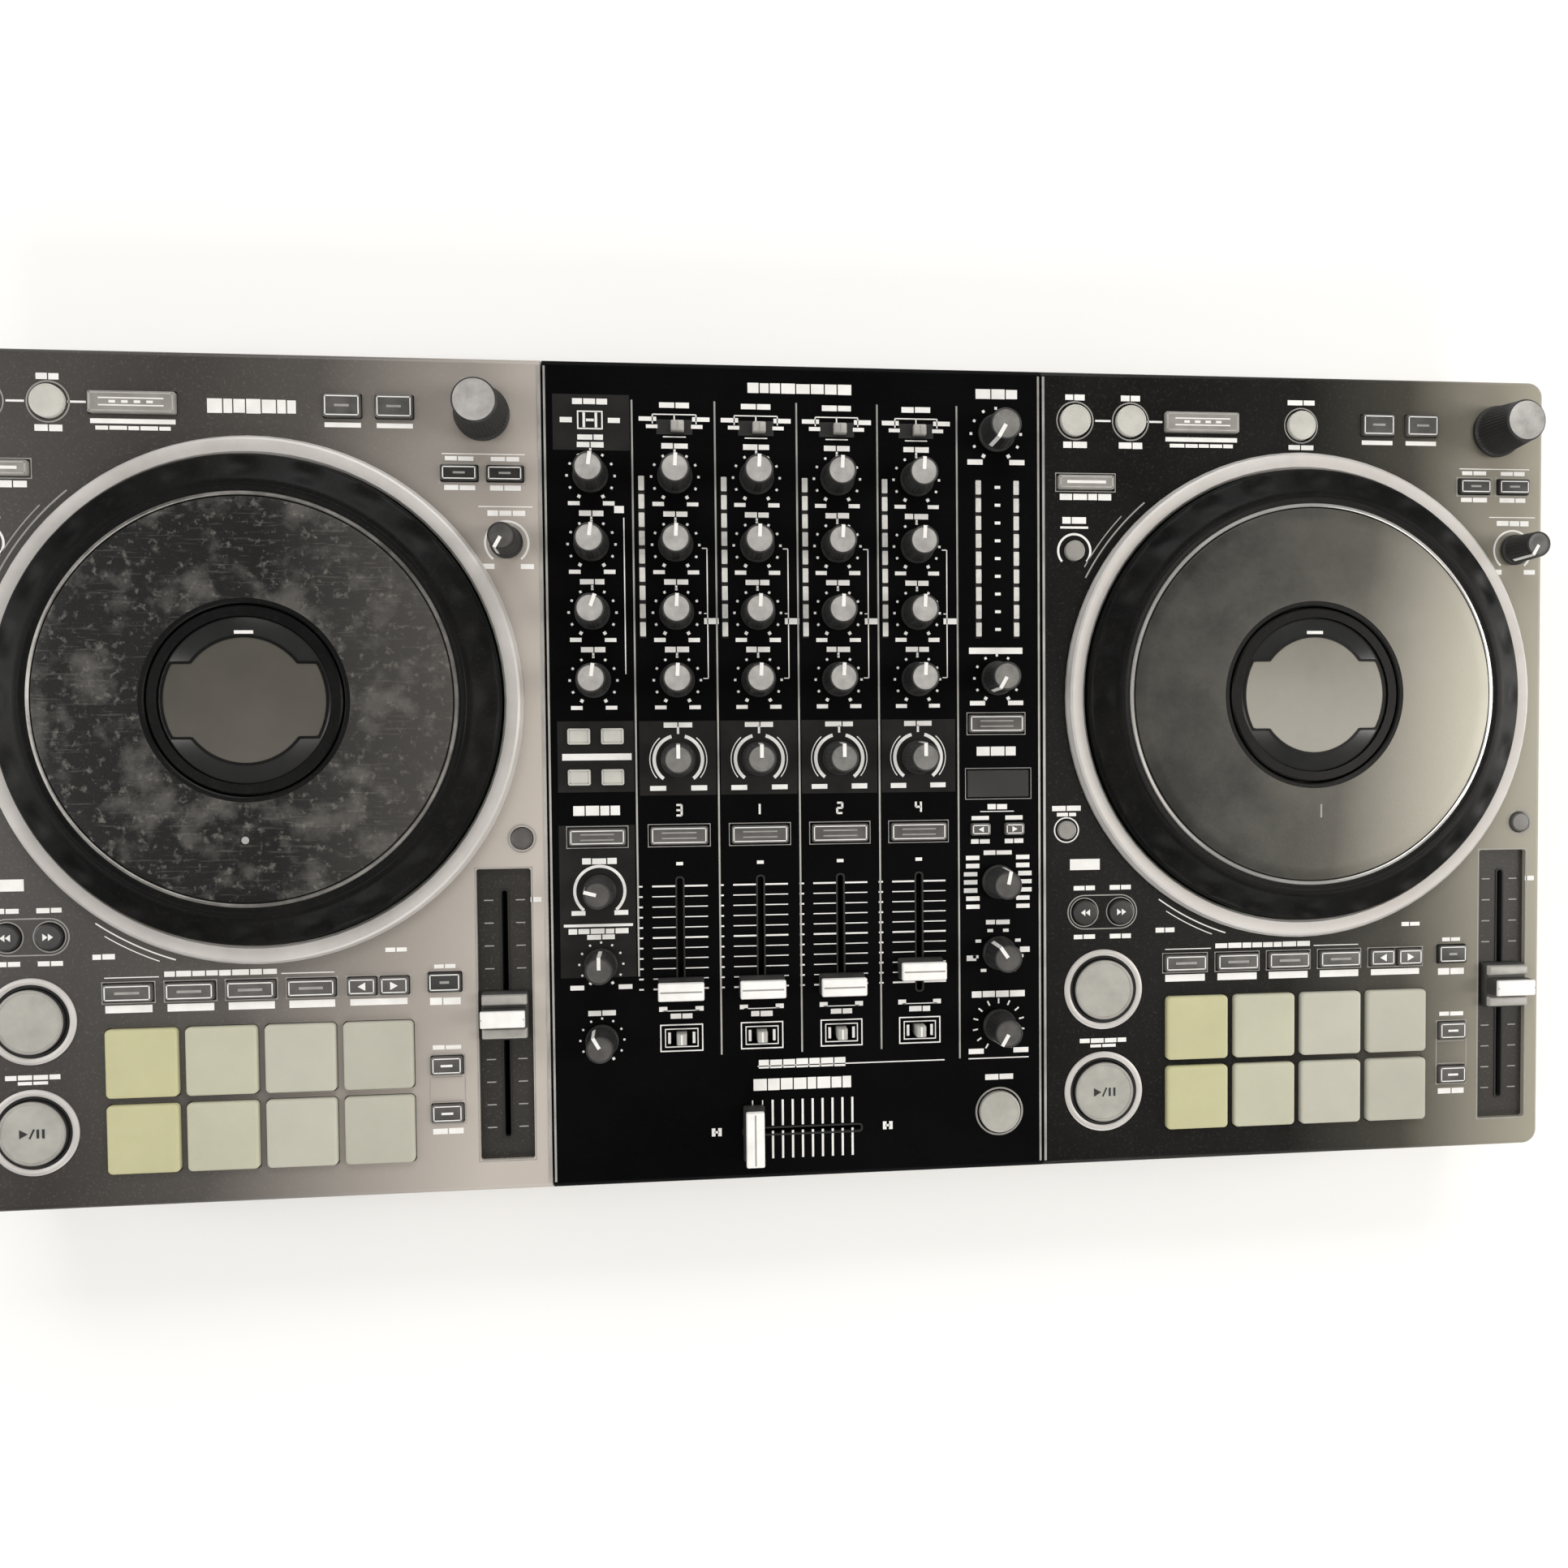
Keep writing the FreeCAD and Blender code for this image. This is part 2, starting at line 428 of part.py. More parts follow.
# ---------------------------------------------------------------- jog wheels
rings, hubs, lenses = [], [], []
for side, x0 in SIDES:
    jx, jy = x0 + JOG_X, JOG_Y
    rings.append(revolve(jx, jy, [(RING_IN, Z_TOP + 0.02), (RING_OUT, Z_TOP + 0.02), (RING_OUT, Z_TOP + 1.6), (RING_OUT - 1.2, RING_TOP - 0.5), (RING_OUT - 2.2, RING_TOP), (RING_IN + 1.0, RING_TOP - 0.6), (RING_IN, RING_TOP - 1.6)]))
    # fixed post carries the centre display; the platter turns round it
    post = revolve(jx, jy, [(12.0, 36.0), (58.0, 36.0), (58.0, 38.5), (POST_R, 38.5), (POST_R, 60.0), (HUB_R, 60.0), (HUB_R, HUB_TOP - 0.6), (HUB_R - 0.6, HUB_TOP), (LENS_R + 0.25, HUB_TOP), (LENS_R + 0.25, HUB_TOP - 2.0), (12.0, HUB_TOP - 2.0)])
    legs = [cyl(jx + 50 * math.cos(math.radians(q)), jy + 50 * math.sin(math.radians(q)), Z_FLOOR + FLOOR_T, 36.3, 4.5) for q in (30, 150, 270)]
    hubs.append(fuse([post] + legs))
    lenses.append(cyl(jx, jy, HUB_TOP - 1.95, HUB_TOP - 0.3, LENS_R))
    platter = revolve(jx, jy, [(POST_R + 0.5, 40.5), (27.0, 40.5), (27.0, 54.2), (97.0, 54.2), (JOG_R - 0.6, 54.2), (JOG_R, 54.8), (JOG_R, 60.2), (JOG_R - 1.2, 61.6), (91.6, 65.2), (JOG_PLATE_R + 0.6, 65.4), (JOG_PLATE_R + 0.3, JOG_TOP), (HUB_R + 1.0, JOG_TOP), (HUB_R + 0.6, JOG_TOP - 0.4), (HUB_R + 0.6, 57.4), (POST_R + 0.5, 57.4)])
    write("jog_wheel_%s" % side, platter)
for x in METER_X:
    lenses.append(box(x - METER_W / 2 + 0.1, x + METER_W / 2 - 0.1, METER_Y0 + 0.1, METER_Y1 - 0.1, Z_TOP - 3.4, Z_TOP - 0.15))
lenses.append(box(FX_DISPLAY[0] + 0.1, FX_DISPLAY[1] - 0.1, FX_DISPLAY[2] + 0.1, FX_DISPLAY[3] - 0.1, Z_TOP - 3.4, Z_TOP - 0.15))
write("jog_surround_rings", rings)
write("jog_display_hubs", hubs)
write("display_windows", lenses)

# ---------------------------------------------------------------- knobs with their shafts


def knob(name, x, y, ang, k, z1=KNOB_Z1, r0=KNOB_R0, r1=KNOB_R1):
    r0, r1 = r0 * k, r1 * k
    body = revolve(x, y, [(0.01, KNOB_Z0), (r0, KNOB_Z0), (r0, KNOB_Z0 + 1.6), (r0 - 0.5, KNOB_Z0 + 2.2), (r1, z1 - 0.7), (r1 - 0.7, z1), (0.01, z1)])
    body = fuse([body, cyl(x, y, KNOB_Z0, z1 - 0.4, 0.5)])
    a = math.radians(ang)
    groove = box(-0.45, 0.45, r1 * 0.25, r1 + 3, z1 - 0.45, z1 + 2)
    groove.rotate(V(0, 0, 0), V(0, 0, 1), -ang)
    groove.translate(V(x, y, 0))
    body = cut(body, [groove, cyl(x, y, KNOB_Z0 - 1, KNOB_Z0 + 9.0, SHAFT_R + 0.08)])
    shaft = cut(cyl(x, y, 42.0, KNOB_Z0 + 8.9, SHAFT_R), box(x + 1.5, x + 5, y - 5, y + 5, KNOB_Z0 - 0.5, KNOB_Z0 + 9.5))
    write(name, [body, shaft])


for n, x, y, ang, k in KNOBS:
    knob(n, x, y, ang, k)
for side, x0 in SIDES:
    knob("browse_selector_%s" % side, x0 + BROWSE[0], BROWSE[1], 0.0, 1.0, z1=HEIGHT, r0=11.8, r1=9.4)

# ---------------------------------------------------------------- faders
pots = []


def fader_cap(x, y, w, l, h, zb, ribs):
    body = Part.Face(Part.makePolygon([V(x - w / 2, y - l / 2, zb), V(x - w / 2, y + l / 2, zb), V(x - w / 2, y + l / 2 - 0.9, zb + h * 0.55), V(x - w / 2, y + l * 0.22, zb + h), V(x - w / 2, y - l * 0.22, zb + h), V(x - w / 2, y - l / 2 + 0.9, zb + h * 0.55), V(x - w / 2, y - l / 2, zb)])).extrude(V(w, 0, 0))
    return body


def fader(name, x, y, w, l, h, zb):
    cap = fader_cap(x, y, w, l, h, zb, 3)
    cap = cut(cap, box(x - 0.75, x + 0.75, y - 2.1, y + 2.1, zb - 1, zb + 5))
    lever = fuse([box(x - 0.6, x + 0.6, y - 2.0, y + 2.0, 41.5, zb + 4.8), cut(box(x - 4.0, x + 4.0, y - 5.0, y + 5.0, 38.4, 42.6), [cyly(x - 2.4, 40.5, y - 6, y + 6, 1.45), cyly(x + 2.4, 40.5, y - 6, y + 6, 1.45)])])
    write(name, [cap, lever])


def fader_unit(x, y, travel):
    h = travel / 2 + 8.0
    frame = cut(box(x - 6.5, x + 6.5, y - h, y + h, BOARD_Z + BOARD_T, 48.6), [box(x - 5.2, x + 5.2, y - h + 1.5, y + h - 1.5, 37.0, 47.4), box(x - 1.6, x + 1.6, y - h + 2.5, y + h - 2.5, 46, 50)])
    rods = [cyly(x + s, 40.5, y - h + 1.0, y + h - 1.0, 1.1) for s in (-2.4, 2.4)]
    return [fuse([frame] + rods)]


def turned(shapes, x, y):
    for s in shapes:
        s.rotate(V(x, y, 0), V(0, 0, 1), 90)
    return shapes


for c, nm in zip(COLS[1:5], CH_NAME):
    fader("channel_fader_%s" % nm, c, FADER_MID + FADER_REST[nm], CAP_W, CAP_L, CAP_H, Z_TOP + 0.8)
    pots += fader_unit(c, FADER_MID, FADER_TRAVEL)
for side, x0 in SIDES:
    fader("tempo_fader_%s" % side, x0 + TEMPO_X, TEMPO_MID, 20.0, 21.4, 11.5, Z_TOP - 1.2)
    pots += fader_unit(x0 + TEMPO_X, TEMPO_MID, TEMPO_TRAVEL)
# crossfader runs left to right
cap = fader_cap(0, 0, 25.0, 9.6, 11.5, Z_TOP + 0.8, 3)
cap = cut(cap, box(-0.75, 0.75, -2.1, 2.1, Z_TOP, Z_TOP + 5.8))
lever = fuse([box(-0.6, 0.6, -2.0, 2.0, 41.5, Z_TOP + 5.6), cut(box(-4.0, 4.0, -5.0, 5.0, 38.4, 42.6), [cyly(-2.4, 40.5, -6, 6, 1.45), cyly(2.4, 40.5, -6, 6, 1.45)])])
for s in (cap, lever):
    s.rotate(V(0, 0, 0), V(0, 0, 1), 90)
    s.translate(V(XF_REST, XF_Y, 0))
write("crossfader", [cap, lever])
unit = fader_unit(0, 0, FADER_TRAVEL)
for s in unit:
    s.rotate(V(0, 0, 0), V(0, 0, 1), 90)
    s.translate(V(0, XF_Y, 0))
pots += unit

# ---------------------------------------------------------------- slide switch levers
levers = []
for c in COLS[1:5]:
    levers.append(fuse([box(c - 1.9, c + 1.9, SWITCH_Y - 1.8, SWITCH_Y + 1.8, 47.0, Z_TOP + 3.4), box(c - 3.2, c + 3.2, SWITCH_Y - 1.9, SWITCH_Y + 1.9, 44.0, 47.4)]))
    levers.append(fuse([box(c - 2.3, c + 2.3, ASSIGN_Y - 2.7, ASSIGN_Y + 2.7, 47.0, Z_TOP + 4.2), box(c - 3.4, c + 3.4, ASSIGN_Y - 2.8, ASSIGN_Y + 2.8, 44.0, 47.4)]))
    pots.append(cut(box(c - 9.5, c + 9.5, SWITCH_Y - 3.4, SWITCH_Y + 3.4, 38.0, 48.4), box(c - 8.2, c + 8.2, SWITCH_Y - 2.3, SWITCH_Y + 2.3, 43.4, 50)))
    pots.append(cut(box(c - 10.5, c + 10.5, ASSIGN_Y - 4.4, ASSIGN_Y + 4.4, 38.0, 48.4), box(c - 9.2, c + 9.2, ASSIGN_Y - 3.2, ASSIGN_Y + 3.2, 43.4, 50)))
write("slide_switch_levers", levers)

# ---------------------------------------------------------------- keys and pads
pads, deck_keys, transport, mixer_keys, stands = [], [], [], [], []


def rect_key(x, y, w, d, up):
    z1 = Z_TOP + up
    k = soften_top(rbc(x, y, w, d, 46.5, z1, 0.7), z1, 0.35)
    return k


def round_key(x, y, r, up):
    z1 = Z_TOP + up
    return revolve(x, y, [(0.0, 46.5), (r, 46.5), (r, z1 - 0.4), (r - 0.4, z1), (0.0, z1)])


TACT = []
for side, x0 in SIDES:
    for x, y, w, d in DECK_RECT.values():
        deck_keys.append(rect_key(x0 + x, y, w, d, BTN_UP)); TACT.append((x0 + x, y))
    for n, (x, y, r) in DECK_ROUND.items():
        if n == "quantize" and x0 < 0:
            continue
        deck_keys.append(round_key(x0 + x, y, r, BTN_UP)); TACT.append((x0 + x, y))
    for x, y, r in TRANSPORT.values():
        transport.append(round_key(x0 + x, y, r, 2.0)); TACT.append((x0 + x, y))
    for i in range(4):
        for j in range(2):
            px, py = x0 + PAD_X0 + i * PAD_PITCH_X, PAD_Y0 - j * PAD_PITCH_Y
            p = soften_top(rbc(px, py, PAD, PAD, 46.5, Z_TOP + PAD_UP, 1.8), Z_TOP + PAD_UP, 0.8)
            pads.append(p); TACT.append((px, py))
for x, y, w, d in MIX_RECT.values():
    mixer_keys.append(rect_key(x, y, w, d, BTN_UP)); TACT.append((x, y))
mixer_keys.append(round_key(FX_ON[0], FX_ON[1], FX_ON[2], 2.0)); TACT.append((FX_ON[0], FX_ON[1]))
write("performance_pads", pads)
write("small_buttons", deck_keys + mixer_keys)
write("play_cue_buttons", transport)

# ---------------------------------------------------------------- boards, potentiometers, key switches
ZB1 = BOARD_Z + BOARD_T
ALLK = [(x, y) for n, x, y, a_, k in KNOBS] + [(x0 + BROWSE[0], BROWSE[1]) for s_, x0 in SIDES]
for x, y in ALLK:
    pots.append(cut(fuse([box(x - 5.2, x + 5.2, y - 5.6, y + 5.6, ZB1, 44.0), cyl(x, y, 43.5, 48.6, 4.2)]), cyl(x, y, 41.6, 49, SHAFT_R + 0.35)))
for x, y in TACT:
    pots.append(box(x - 2.6, x + 2.6, y - 2.3, y + 2.3, ZB1, 44.9))
boards = []
for side, x0 in SIDES:
    jx = x0 + JOG_X
    a0 = x0 + 7.5 if side == "left" else x0 + 1.5
    a1 = x0 + DECK_W - 1.5 if side == "left" else x0 + DECK_W - 7.5
    b = box(a0, a1, -172.0, 163.0, BOARD_Z, ZB1)
    holes = [cyl(jx, JOG_Y, 30, 40, 62.0)] + [cyl(x, y, 30, 40, 5.0) for x, y in BOSSES]
    boards.append(cut(b, holes))
b = box(-109.6, 109.6, -174.0, 163.0, BOARD_Z, ZB1)
boards.append(cut(b, [cyl(x, y, 30, 40, 5.0) for x, y in BOSSES]))
# main processor board on standoffs on the floor, behind the sockets
boards.append(box(-240.0, 310.0, 114.0, 140.0, 12.0, 13.6))
for x in (-230.0, -60.0, 60.0, 300.0):
    boards.append(cyl(x, 127.0, Z_FLOOR + FLOOR_T, 12.0, 3.0))
for x, w in ((-60.0, 28.0), (20.0, 20.0), (120.0, 14.0)):
    boards.append(box(x - w / 2, x + w / 2, 127 - w / 2 + 2, 127 + w / 2 - 2, 13.6, 15.6))
write("control_boards", boards + pots)

print(len(WRITTEN), "nodes", sum(n for _, n in WRITTEN), "solids")
for n, k in WRITTEN:
    print("  ", n, k)
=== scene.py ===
import bpy
import math
import random
from mathutils import Vector, Matrix, noise


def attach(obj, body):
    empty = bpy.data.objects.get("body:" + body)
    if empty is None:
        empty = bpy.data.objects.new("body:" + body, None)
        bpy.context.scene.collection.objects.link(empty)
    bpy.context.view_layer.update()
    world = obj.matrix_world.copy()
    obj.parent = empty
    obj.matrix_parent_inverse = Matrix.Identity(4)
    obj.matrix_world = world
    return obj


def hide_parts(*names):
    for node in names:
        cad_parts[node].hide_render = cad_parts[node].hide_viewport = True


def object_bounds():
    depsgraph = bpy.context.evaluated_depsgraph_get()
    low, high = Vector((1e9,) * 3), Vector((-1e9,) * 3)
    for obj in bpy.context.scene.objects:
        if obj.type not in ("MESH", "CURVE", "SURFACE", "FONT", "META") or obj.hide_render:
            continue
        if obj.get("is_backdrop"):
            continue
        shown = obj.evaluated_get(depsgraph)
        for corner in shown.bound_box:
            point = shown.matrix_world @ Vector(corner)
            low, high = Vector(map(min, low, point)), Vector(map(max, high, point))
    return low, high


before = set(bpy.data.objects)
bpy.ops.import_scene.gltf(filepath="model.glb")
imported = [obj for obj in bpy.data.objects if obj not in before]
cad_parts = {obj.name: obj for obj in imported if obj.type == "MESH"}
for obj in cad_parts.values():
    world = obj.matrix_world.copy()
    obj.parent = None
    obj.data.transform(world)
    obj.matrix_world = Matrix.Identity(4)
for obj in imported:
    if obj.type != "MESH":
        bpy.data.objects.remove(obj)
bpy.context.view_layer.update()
S = 0.001
random.seed(7)

# ------------------------------------------------------------------ panel layout, millimetres
W, D, MIXW = 708.0, 361.4, 221.4
ZT = 53.0
SIDES = (("left", -W / 2), ("right", MIXW / 2))
COLS = [-90.0, -53.6, -17.9, 17.9, 53.6, 90.0]
ROWS = [131.0, 101.4, 71.8, 42.3]


# ------------------------------------------------------------------ materials
def node(nt, kind, x=0, y=0, **kw):
    n = nt.nodes.new(kind)
    n.location = (x, y)
    for k, v in kw.items():
        setattr(n, k, v)
    return n


def material(name, a, b=None, rough=(0.4, 0.55), metal=0.0, grain=900.0, bump=0.12, blotch=18.0, speck=0.0, speck_col=(0.4, 0.38, 0.35),
             speck_scale=420.0, spec=0.5, sss=0.0, coat=0.0, coat_rough=0.2, emit=None, emit_s=0.0, aniso=0.0, ramp=(0.35, 0.7), bump_dist=0.0002,
             scratch=0.0, alpha=None, trans=0.0):
    m = bpy.data.materials.new(name)
    m.use_nodes = True
    nt = m.node_tree
    bs = nt.nodes["Principled BSDF"]
    b = b or tuple(min(1.0, c * 1.35 + 0.004) for c in a)
    tc = node(nt, "ShaderNodeTexCoord", -1300, 0)
    big = node(nt, "ShaderNodeTexNoise", -1000, 200)
    big.inputs["Scale"].default_value = blotch
    big.inputs["Detail"].default_value = 6.0
    big.inputs["Roughness"].default_value = 0.62
    fine = node(nt, "ShaderNodeTexNoise", -1000, -150)
    fine.inputs["Scale"].default_value = grain
    fine.inputs["Detail"].default_value = 4.0
    nt.links.new(tc.outputs["Object"], big.inputs["Vector"])
    nt.links.new(tc.outputs["Object"], fine.inputs["Vector"])
    cr = node(nt, "ShaderNodeValToRGB", -780, 250)
    cr.color_ramp.elements[0].position = ramp[0]
    cr.color_ramp.elements[1].position = ramp[1]
    cr.color_ramp.elements[0].color = (*a, 1)
    cr.color_ramp.elements[1].color = (*b, 1)
    nt.links.new(big.outputs["Fac"], cr.inputs["Fac"])
    col = cr.outputs["Color"]
    if speck > 0:
        sp = node(nt, "ShaderNodeTexNoise", -1000, 500)
        sp.inputs["Scale"].default_value = speck_scale
        sp.inputs["Detail"].default_value = 3.0
        sp.inputs["Roughness"].default_value = 0.7
        nt.links.new(tc.outputs["Object"], sp.inputs["Vector"])
        sr = node(nt, "ShaderNodeValToRGB", -780, 520)
        sr.color_ramp.elements[0].position = 0.56
        sr.color_ramp.elements[1].position = 0.72
        sr.color_ramp.elements[0].color = (0, 0, 0, 1)
        sr.color_ramp.elements[1].color = (speck, speck, speck, 1)
        nt.links.new(sp.outputs["Fac"], sr.inputs["Fac"])
        mx = node(nt, "ShaderNodeMix", -500, 350, data_type="RGBA")
        nt.links.new(sr.outputs["Color"], mx.inputs["Factor"])
        nt.links.new(col, mx.inputs["A"])
        mx.inputs["B"].default_value = (*speck_col, 1)
        col = mx.outputs["Result"]
    if scratch > 0:
        mp = node(nt, "ShaderNodeMapping", -1180, 760)
        mp.inputs["Rotation"].default_value = (0, 0, 0.6)
        mp.inputs["Scale"].default_value = (1.0, 14.0, 1.0)
        nt.links.new(tc.outputs["Object"], mp.inputs["Vector"])
        sc = node(nt, "ShaderNodeTexNoise", -1000, 760)
        sc.inputs["Scale"].default_value = 70.0
        sc.inputs["Detail"].default_value = 8.0
        nt.links.new(mp.outputs["Vector"], sc.inputs["Vector"])
        s2 = node(nt, "ShaderNodeValToRGB", -780, 760)
        s2.color_ramp.elements[0].position = 0.60
        s2.color_ramp.elements[1].position = 0.68
        s2.color_ramp.elements[0].color = (0, 0, 0, 1)
        s2.color_ramp.elements[1].color = (scratch, scratch, scratch, 1)
        nt.links.new(sc.outputs["Fac"], s2.inputs["Fac"])
        mx = node(nt, "ShaderNodeMix", -330, 480, data_type="RGBA")
        nt.links.new(s2.outputs["Color"], mx.inputs["Factor"])
        nt.links.new(col, mx.inputs["A"])
        mx.inputs["B"].default_value = (*[min(1, c * 1.4 + 0.02) for c in speck_col], 1)
        col = mx.outputs["Result"]
    nt.links.new(col, bs.inputs["Base Color"])
    rr = node(nt, "ShaderNodeMapRange", -500, 0)
    rr.inputs["From Min"].default_value = 0.3
    rr.inputs["From Max"].default_value = 0.7
    rr.inputs["To Min"].default_value = rough[0]
    rr.inputs["To Max"].default_value = rough[1]
    nt.links.new(big.outputs["Fac"], rr.inputs["Value"])
    nt.links.new(rr.outputs["Result"], bs.inputs["Roughness"])
    bp = node(nt, "ShaderNodeBump", -300, -250)
    bp.inputs["Strength"].default_value = bump
    bp.inputs["Distance"].default_value = bump_dist
    nt.links.new(fine.outputs["Fac"], bp.inputs["Height"])
    nt.links.new(bp.outputs["Normal"], bs.inputs["Normal"])
    bs.inputs["Metallic"].default_value = metal
    bs.inputs["Specular IOR Level"].default_value = spec
    bs.inputs["Coat Weight"].default_value = coat
    bs.inputs["Coat Roughness"].default_value = coat_rough
    bs.inputs["Anisotropic"].default_value = aniso
    if sss:
        bs.inputs["Subsurface Weight"].default_value = sss
        bs.inputs["Subsurface Scale"].default_value = 0.003
        bs.inputs["Subsurface Radius"].default_value = (1.0, 0.8, 0.5)
    if emit:
        bs.inputs["Emission Color"].default_value = (*emit, 1)
        bs.inputs["Emission Strength"].default_value = emit_s
    if trans:
        bs.inputs["Transmission Weight"].default_value = trans
    m["tree"] = 1
    return m


def painted_sheen_gradient(m, x0, x1, stops, colour, tilt=0.0):
    """A painted sheen: a warm, lighter film painted on top of the base colour, thicker towards one side of the plate,
    standing in for reflected light. stops: (place from x0 to x1, amount)
    """
    nt = m.node_tree
    bs = nt.nodes["Principled BSDF"]
    old = bs.inputs["Base Color"].links[0].from_socket
    tc = node(nt, "ShaderNodeTexCoord", -1300, 1100)
    sx = node(nt, "ShaderNodeSeparateXYZ", -1100, 1100)
    nt.links.new(tc.outputs["Object"], sx.inputs["Vector"])
    mr = node(nt, "ShaderNodeMapRange", -900, 1100)
    mr.inputs["From Min"].default_value = x0 * S
    mr.inputs["From Max"].default_value = x1 * S
    lean = node(nt, "ShaderNodeMath", -1000, 950, operation="MULTIPLY_ADD")
    nt.links.new(sx.outputs["Y"], lean.inputs[0])
    lean.inputs[1].default_value = -tilt
    nt.links.new(sx.outputs["X"], lean.inputs[2])
    nt.links.new(lean.outputs["Value"], mr.inputs["Value"])
    ns = node(nt, "ShaderNodeTexNoise", -900, 1350)
    ns.inputs["Scale"].default_value = 6.0
    ns.inputs["Detail"].default_value = 6.0
    nt.links.new(tc.outputs["Object"], ns.inputs["Vector"])
    wob = node(nt, "ShaderNodeMath", -700, 1350, operation="MULTIPLY_ADD")
    nt.links.new(ns.outputs["Fac"], wob.inputs[0])
    wob.inputs[1].default_value = 0.10
    wob.inputs[2].default_value = -0.05
    ad = node(nt, "ShaderNodeMath", -600, 1150, operation="ADD")
    nt.links.new(mr.outputs["Result"], ad.inputs[0])
    nt.links.new(wob.outputs["Value"], ad.inputs[1])
    cr = node(nt, "ShaderNodeValToRGB", -450, 1150)
    el = cr.color_ramp.elements
    while len(el) < len(stops):
        el.new(0.5)
    for e, (p, v) in zip(el, stops):
        e.position = p
        e.color = (v, v, v, 1)
    nt.links.new(ad.outputs["Value"], cr.inputs["Fac"])
    mx = node(nt, "ShaderNodeMix", -150, 700, data_type="RGBA")
    nt.links.new(cr.outputs["Color"], mx.inputs["Factor"])
    nt.links.new(old, mx.inputs["A"])
    mx.inputs["B"].default_value = (*colour, 1)
    nt.links.new(mx.outputs["Result"], bs.inputs["Base Color"])


MAT = {}
# the two deck plate materials below are one plate finish in two tones: the left plate's copy has the lighter base
# colour, painted light; the right plate's copy the darker, painted shade
MAT["deck_l"] = material("deck_plate_left", (0.007, 0.0064, 0.006), (0.014, 0.013, 0.012), rough=(0.29, 0.4), grain=2600, bump=0.14, blotch=9, speck=0.12, speck_scale=900, spec=0.4, coat=0.0)
MAT["deck_r"] = material("deck_plate_right", (0.0035, 0.0035, 0.0035), (0.008, 0.0076, 0.0072), rough=(0.27, 0.37), grain=2600, bump=0.14, blotch=9, speck=0.05, speck_scale=900, spec=0.14, coat=0.0)
MAT["mixer"] = material("mixer_plate", (0.001, 0.0011, 0.0014), (0.0022, 0.0023, 0.0026), rough=(0.34, 0.46), grain=2600, bump=0.12, blotch=11, speck=0.015, speck_scale=800, speck_col=(0.10, 0.095, 0.09), spec=0.04)
MAT["case"] = material("case_moulding", (0.014, 0.014, 0.014), (0.026, 0.025, 0.025), rough=(0.5, 0.7), grain=1500, bump=0.5, blotch=14, spec=0.4, bump_dist=0.0004)
MAT["rubber"] = material("foot_rubber", (0.02, 0.02, 0.02), (0.035, 0.034, 0.034), rough=(0.75, 0.9), grain=1200, bump=0.5, spec=0.3)
MAT["screw"] = material("screw_black_zinc", (0.12, 0.12, 0.125), (0.2, 0.2, 0.2), rough=(0.3, 0.45), metal=1.0, grain=2500, bump=0.15)
MAT["socket"] = material("socket_plastic", (0.02, 0.02, 0.021), (0.034, 0.034, 0.035), rough=(0.35, 0.5), grain=2000, bump=0.15)
MAT["gold"] = material("contact_gold", (0.75, 0.52, 0.2), (0.85, 0.62, 0.3), rough=(0.2, 0.32), metal=1.0, grain=2500, bump=0.05)
MAT["nickel"] = material("nickel_shell", (0.6, 0.59, 0.57), (0.72, 0.71, 0.69), rough=(0.22, 0.36), metal=1.0, grain=2500, bump=0.08)
MAT["board"] = material("board_green", (0.01, 0.11, 0.045), (0.015, 0.16, 0.07), rough=(0.25, 0.4), grain=700, bump=0.1)
MAT["ring"] = material("ring_silver", (0.48, 0.46, 0.44), (0.60, 0.58, 0.56), rough=(0.34, 0.48), metal=0.15, grain=1800, bump=0.1, blotch=30, spec=0.6)
MAT["hub"] = material("hub_black", (0.0016, 0.0016, 0.0018), (0.0036, 0.0036, 0.0036), rough=(0.32, 0.44), grain=2000, bump=0.06, blotch=40, speck=0.02, speck_scale=700, spec=0.14)
MAT["rim"] = material("jog_rim_grip", (0.002, 0.002, 0.0022), (0.005, 0.0048, 0.0046), rough=(0.36, 0.5), grain=1500, bump=0.28, blotch=45, speck=0.05, speck_scale=600, speck_col=(0.14, 0.13, 0.115), spec=0.12)
MAT["plate_l"] = material("jog_plate_left", (0.003, 0.0029, 0.0028), (0.075, 0.071, 0.065), rough=(0.42, 0.6), metal=0.1, grain=1400, bump=0.6, blotch=46, speck=0.6, speck_scale=240, speck_col=(0.19, 0.18, 0.16), ramp=(0.49, 0.64), scratch=0.12, bump_dist=0.0003, spec=0.3)
MAT["plate_r"] = material("jog_plate_right", (0.005, 0.0048, 0.0043), (0.042, 0.040, 0.035), rough=(0.38, 0.52), metal=0.1, grain=1800, bump=0.3, blotch=16, speck=0.35, speck_scale=380, speck_col=(0.01, 0.0095, 0.009), ramp=(0.40, 0.58), scratch=0.08, spec=0.35)
# the two thin ring materials below are one silver ring in two tones: the right wheel's copy is painted lighter, painted
# reflection; the left wheel's copy is painted darker, painted shade
MAT["bright"] = material("thin_bright_ring", (0.50, 0.49, 0.47), (0.64, 0.63, 0.61), rough=(0.2, 0.35), metal=0.6, grain=2000, bump=0.05)
MAT["ring_shaded_copy"] = material("thin_ring_shaded_copy", (0.14, 0.135, 0.125), (0.34, 0.33, 0.31), rough=(0.25, 0.4), metal=0.6, grain=900, bump=0.1, blotch=60)
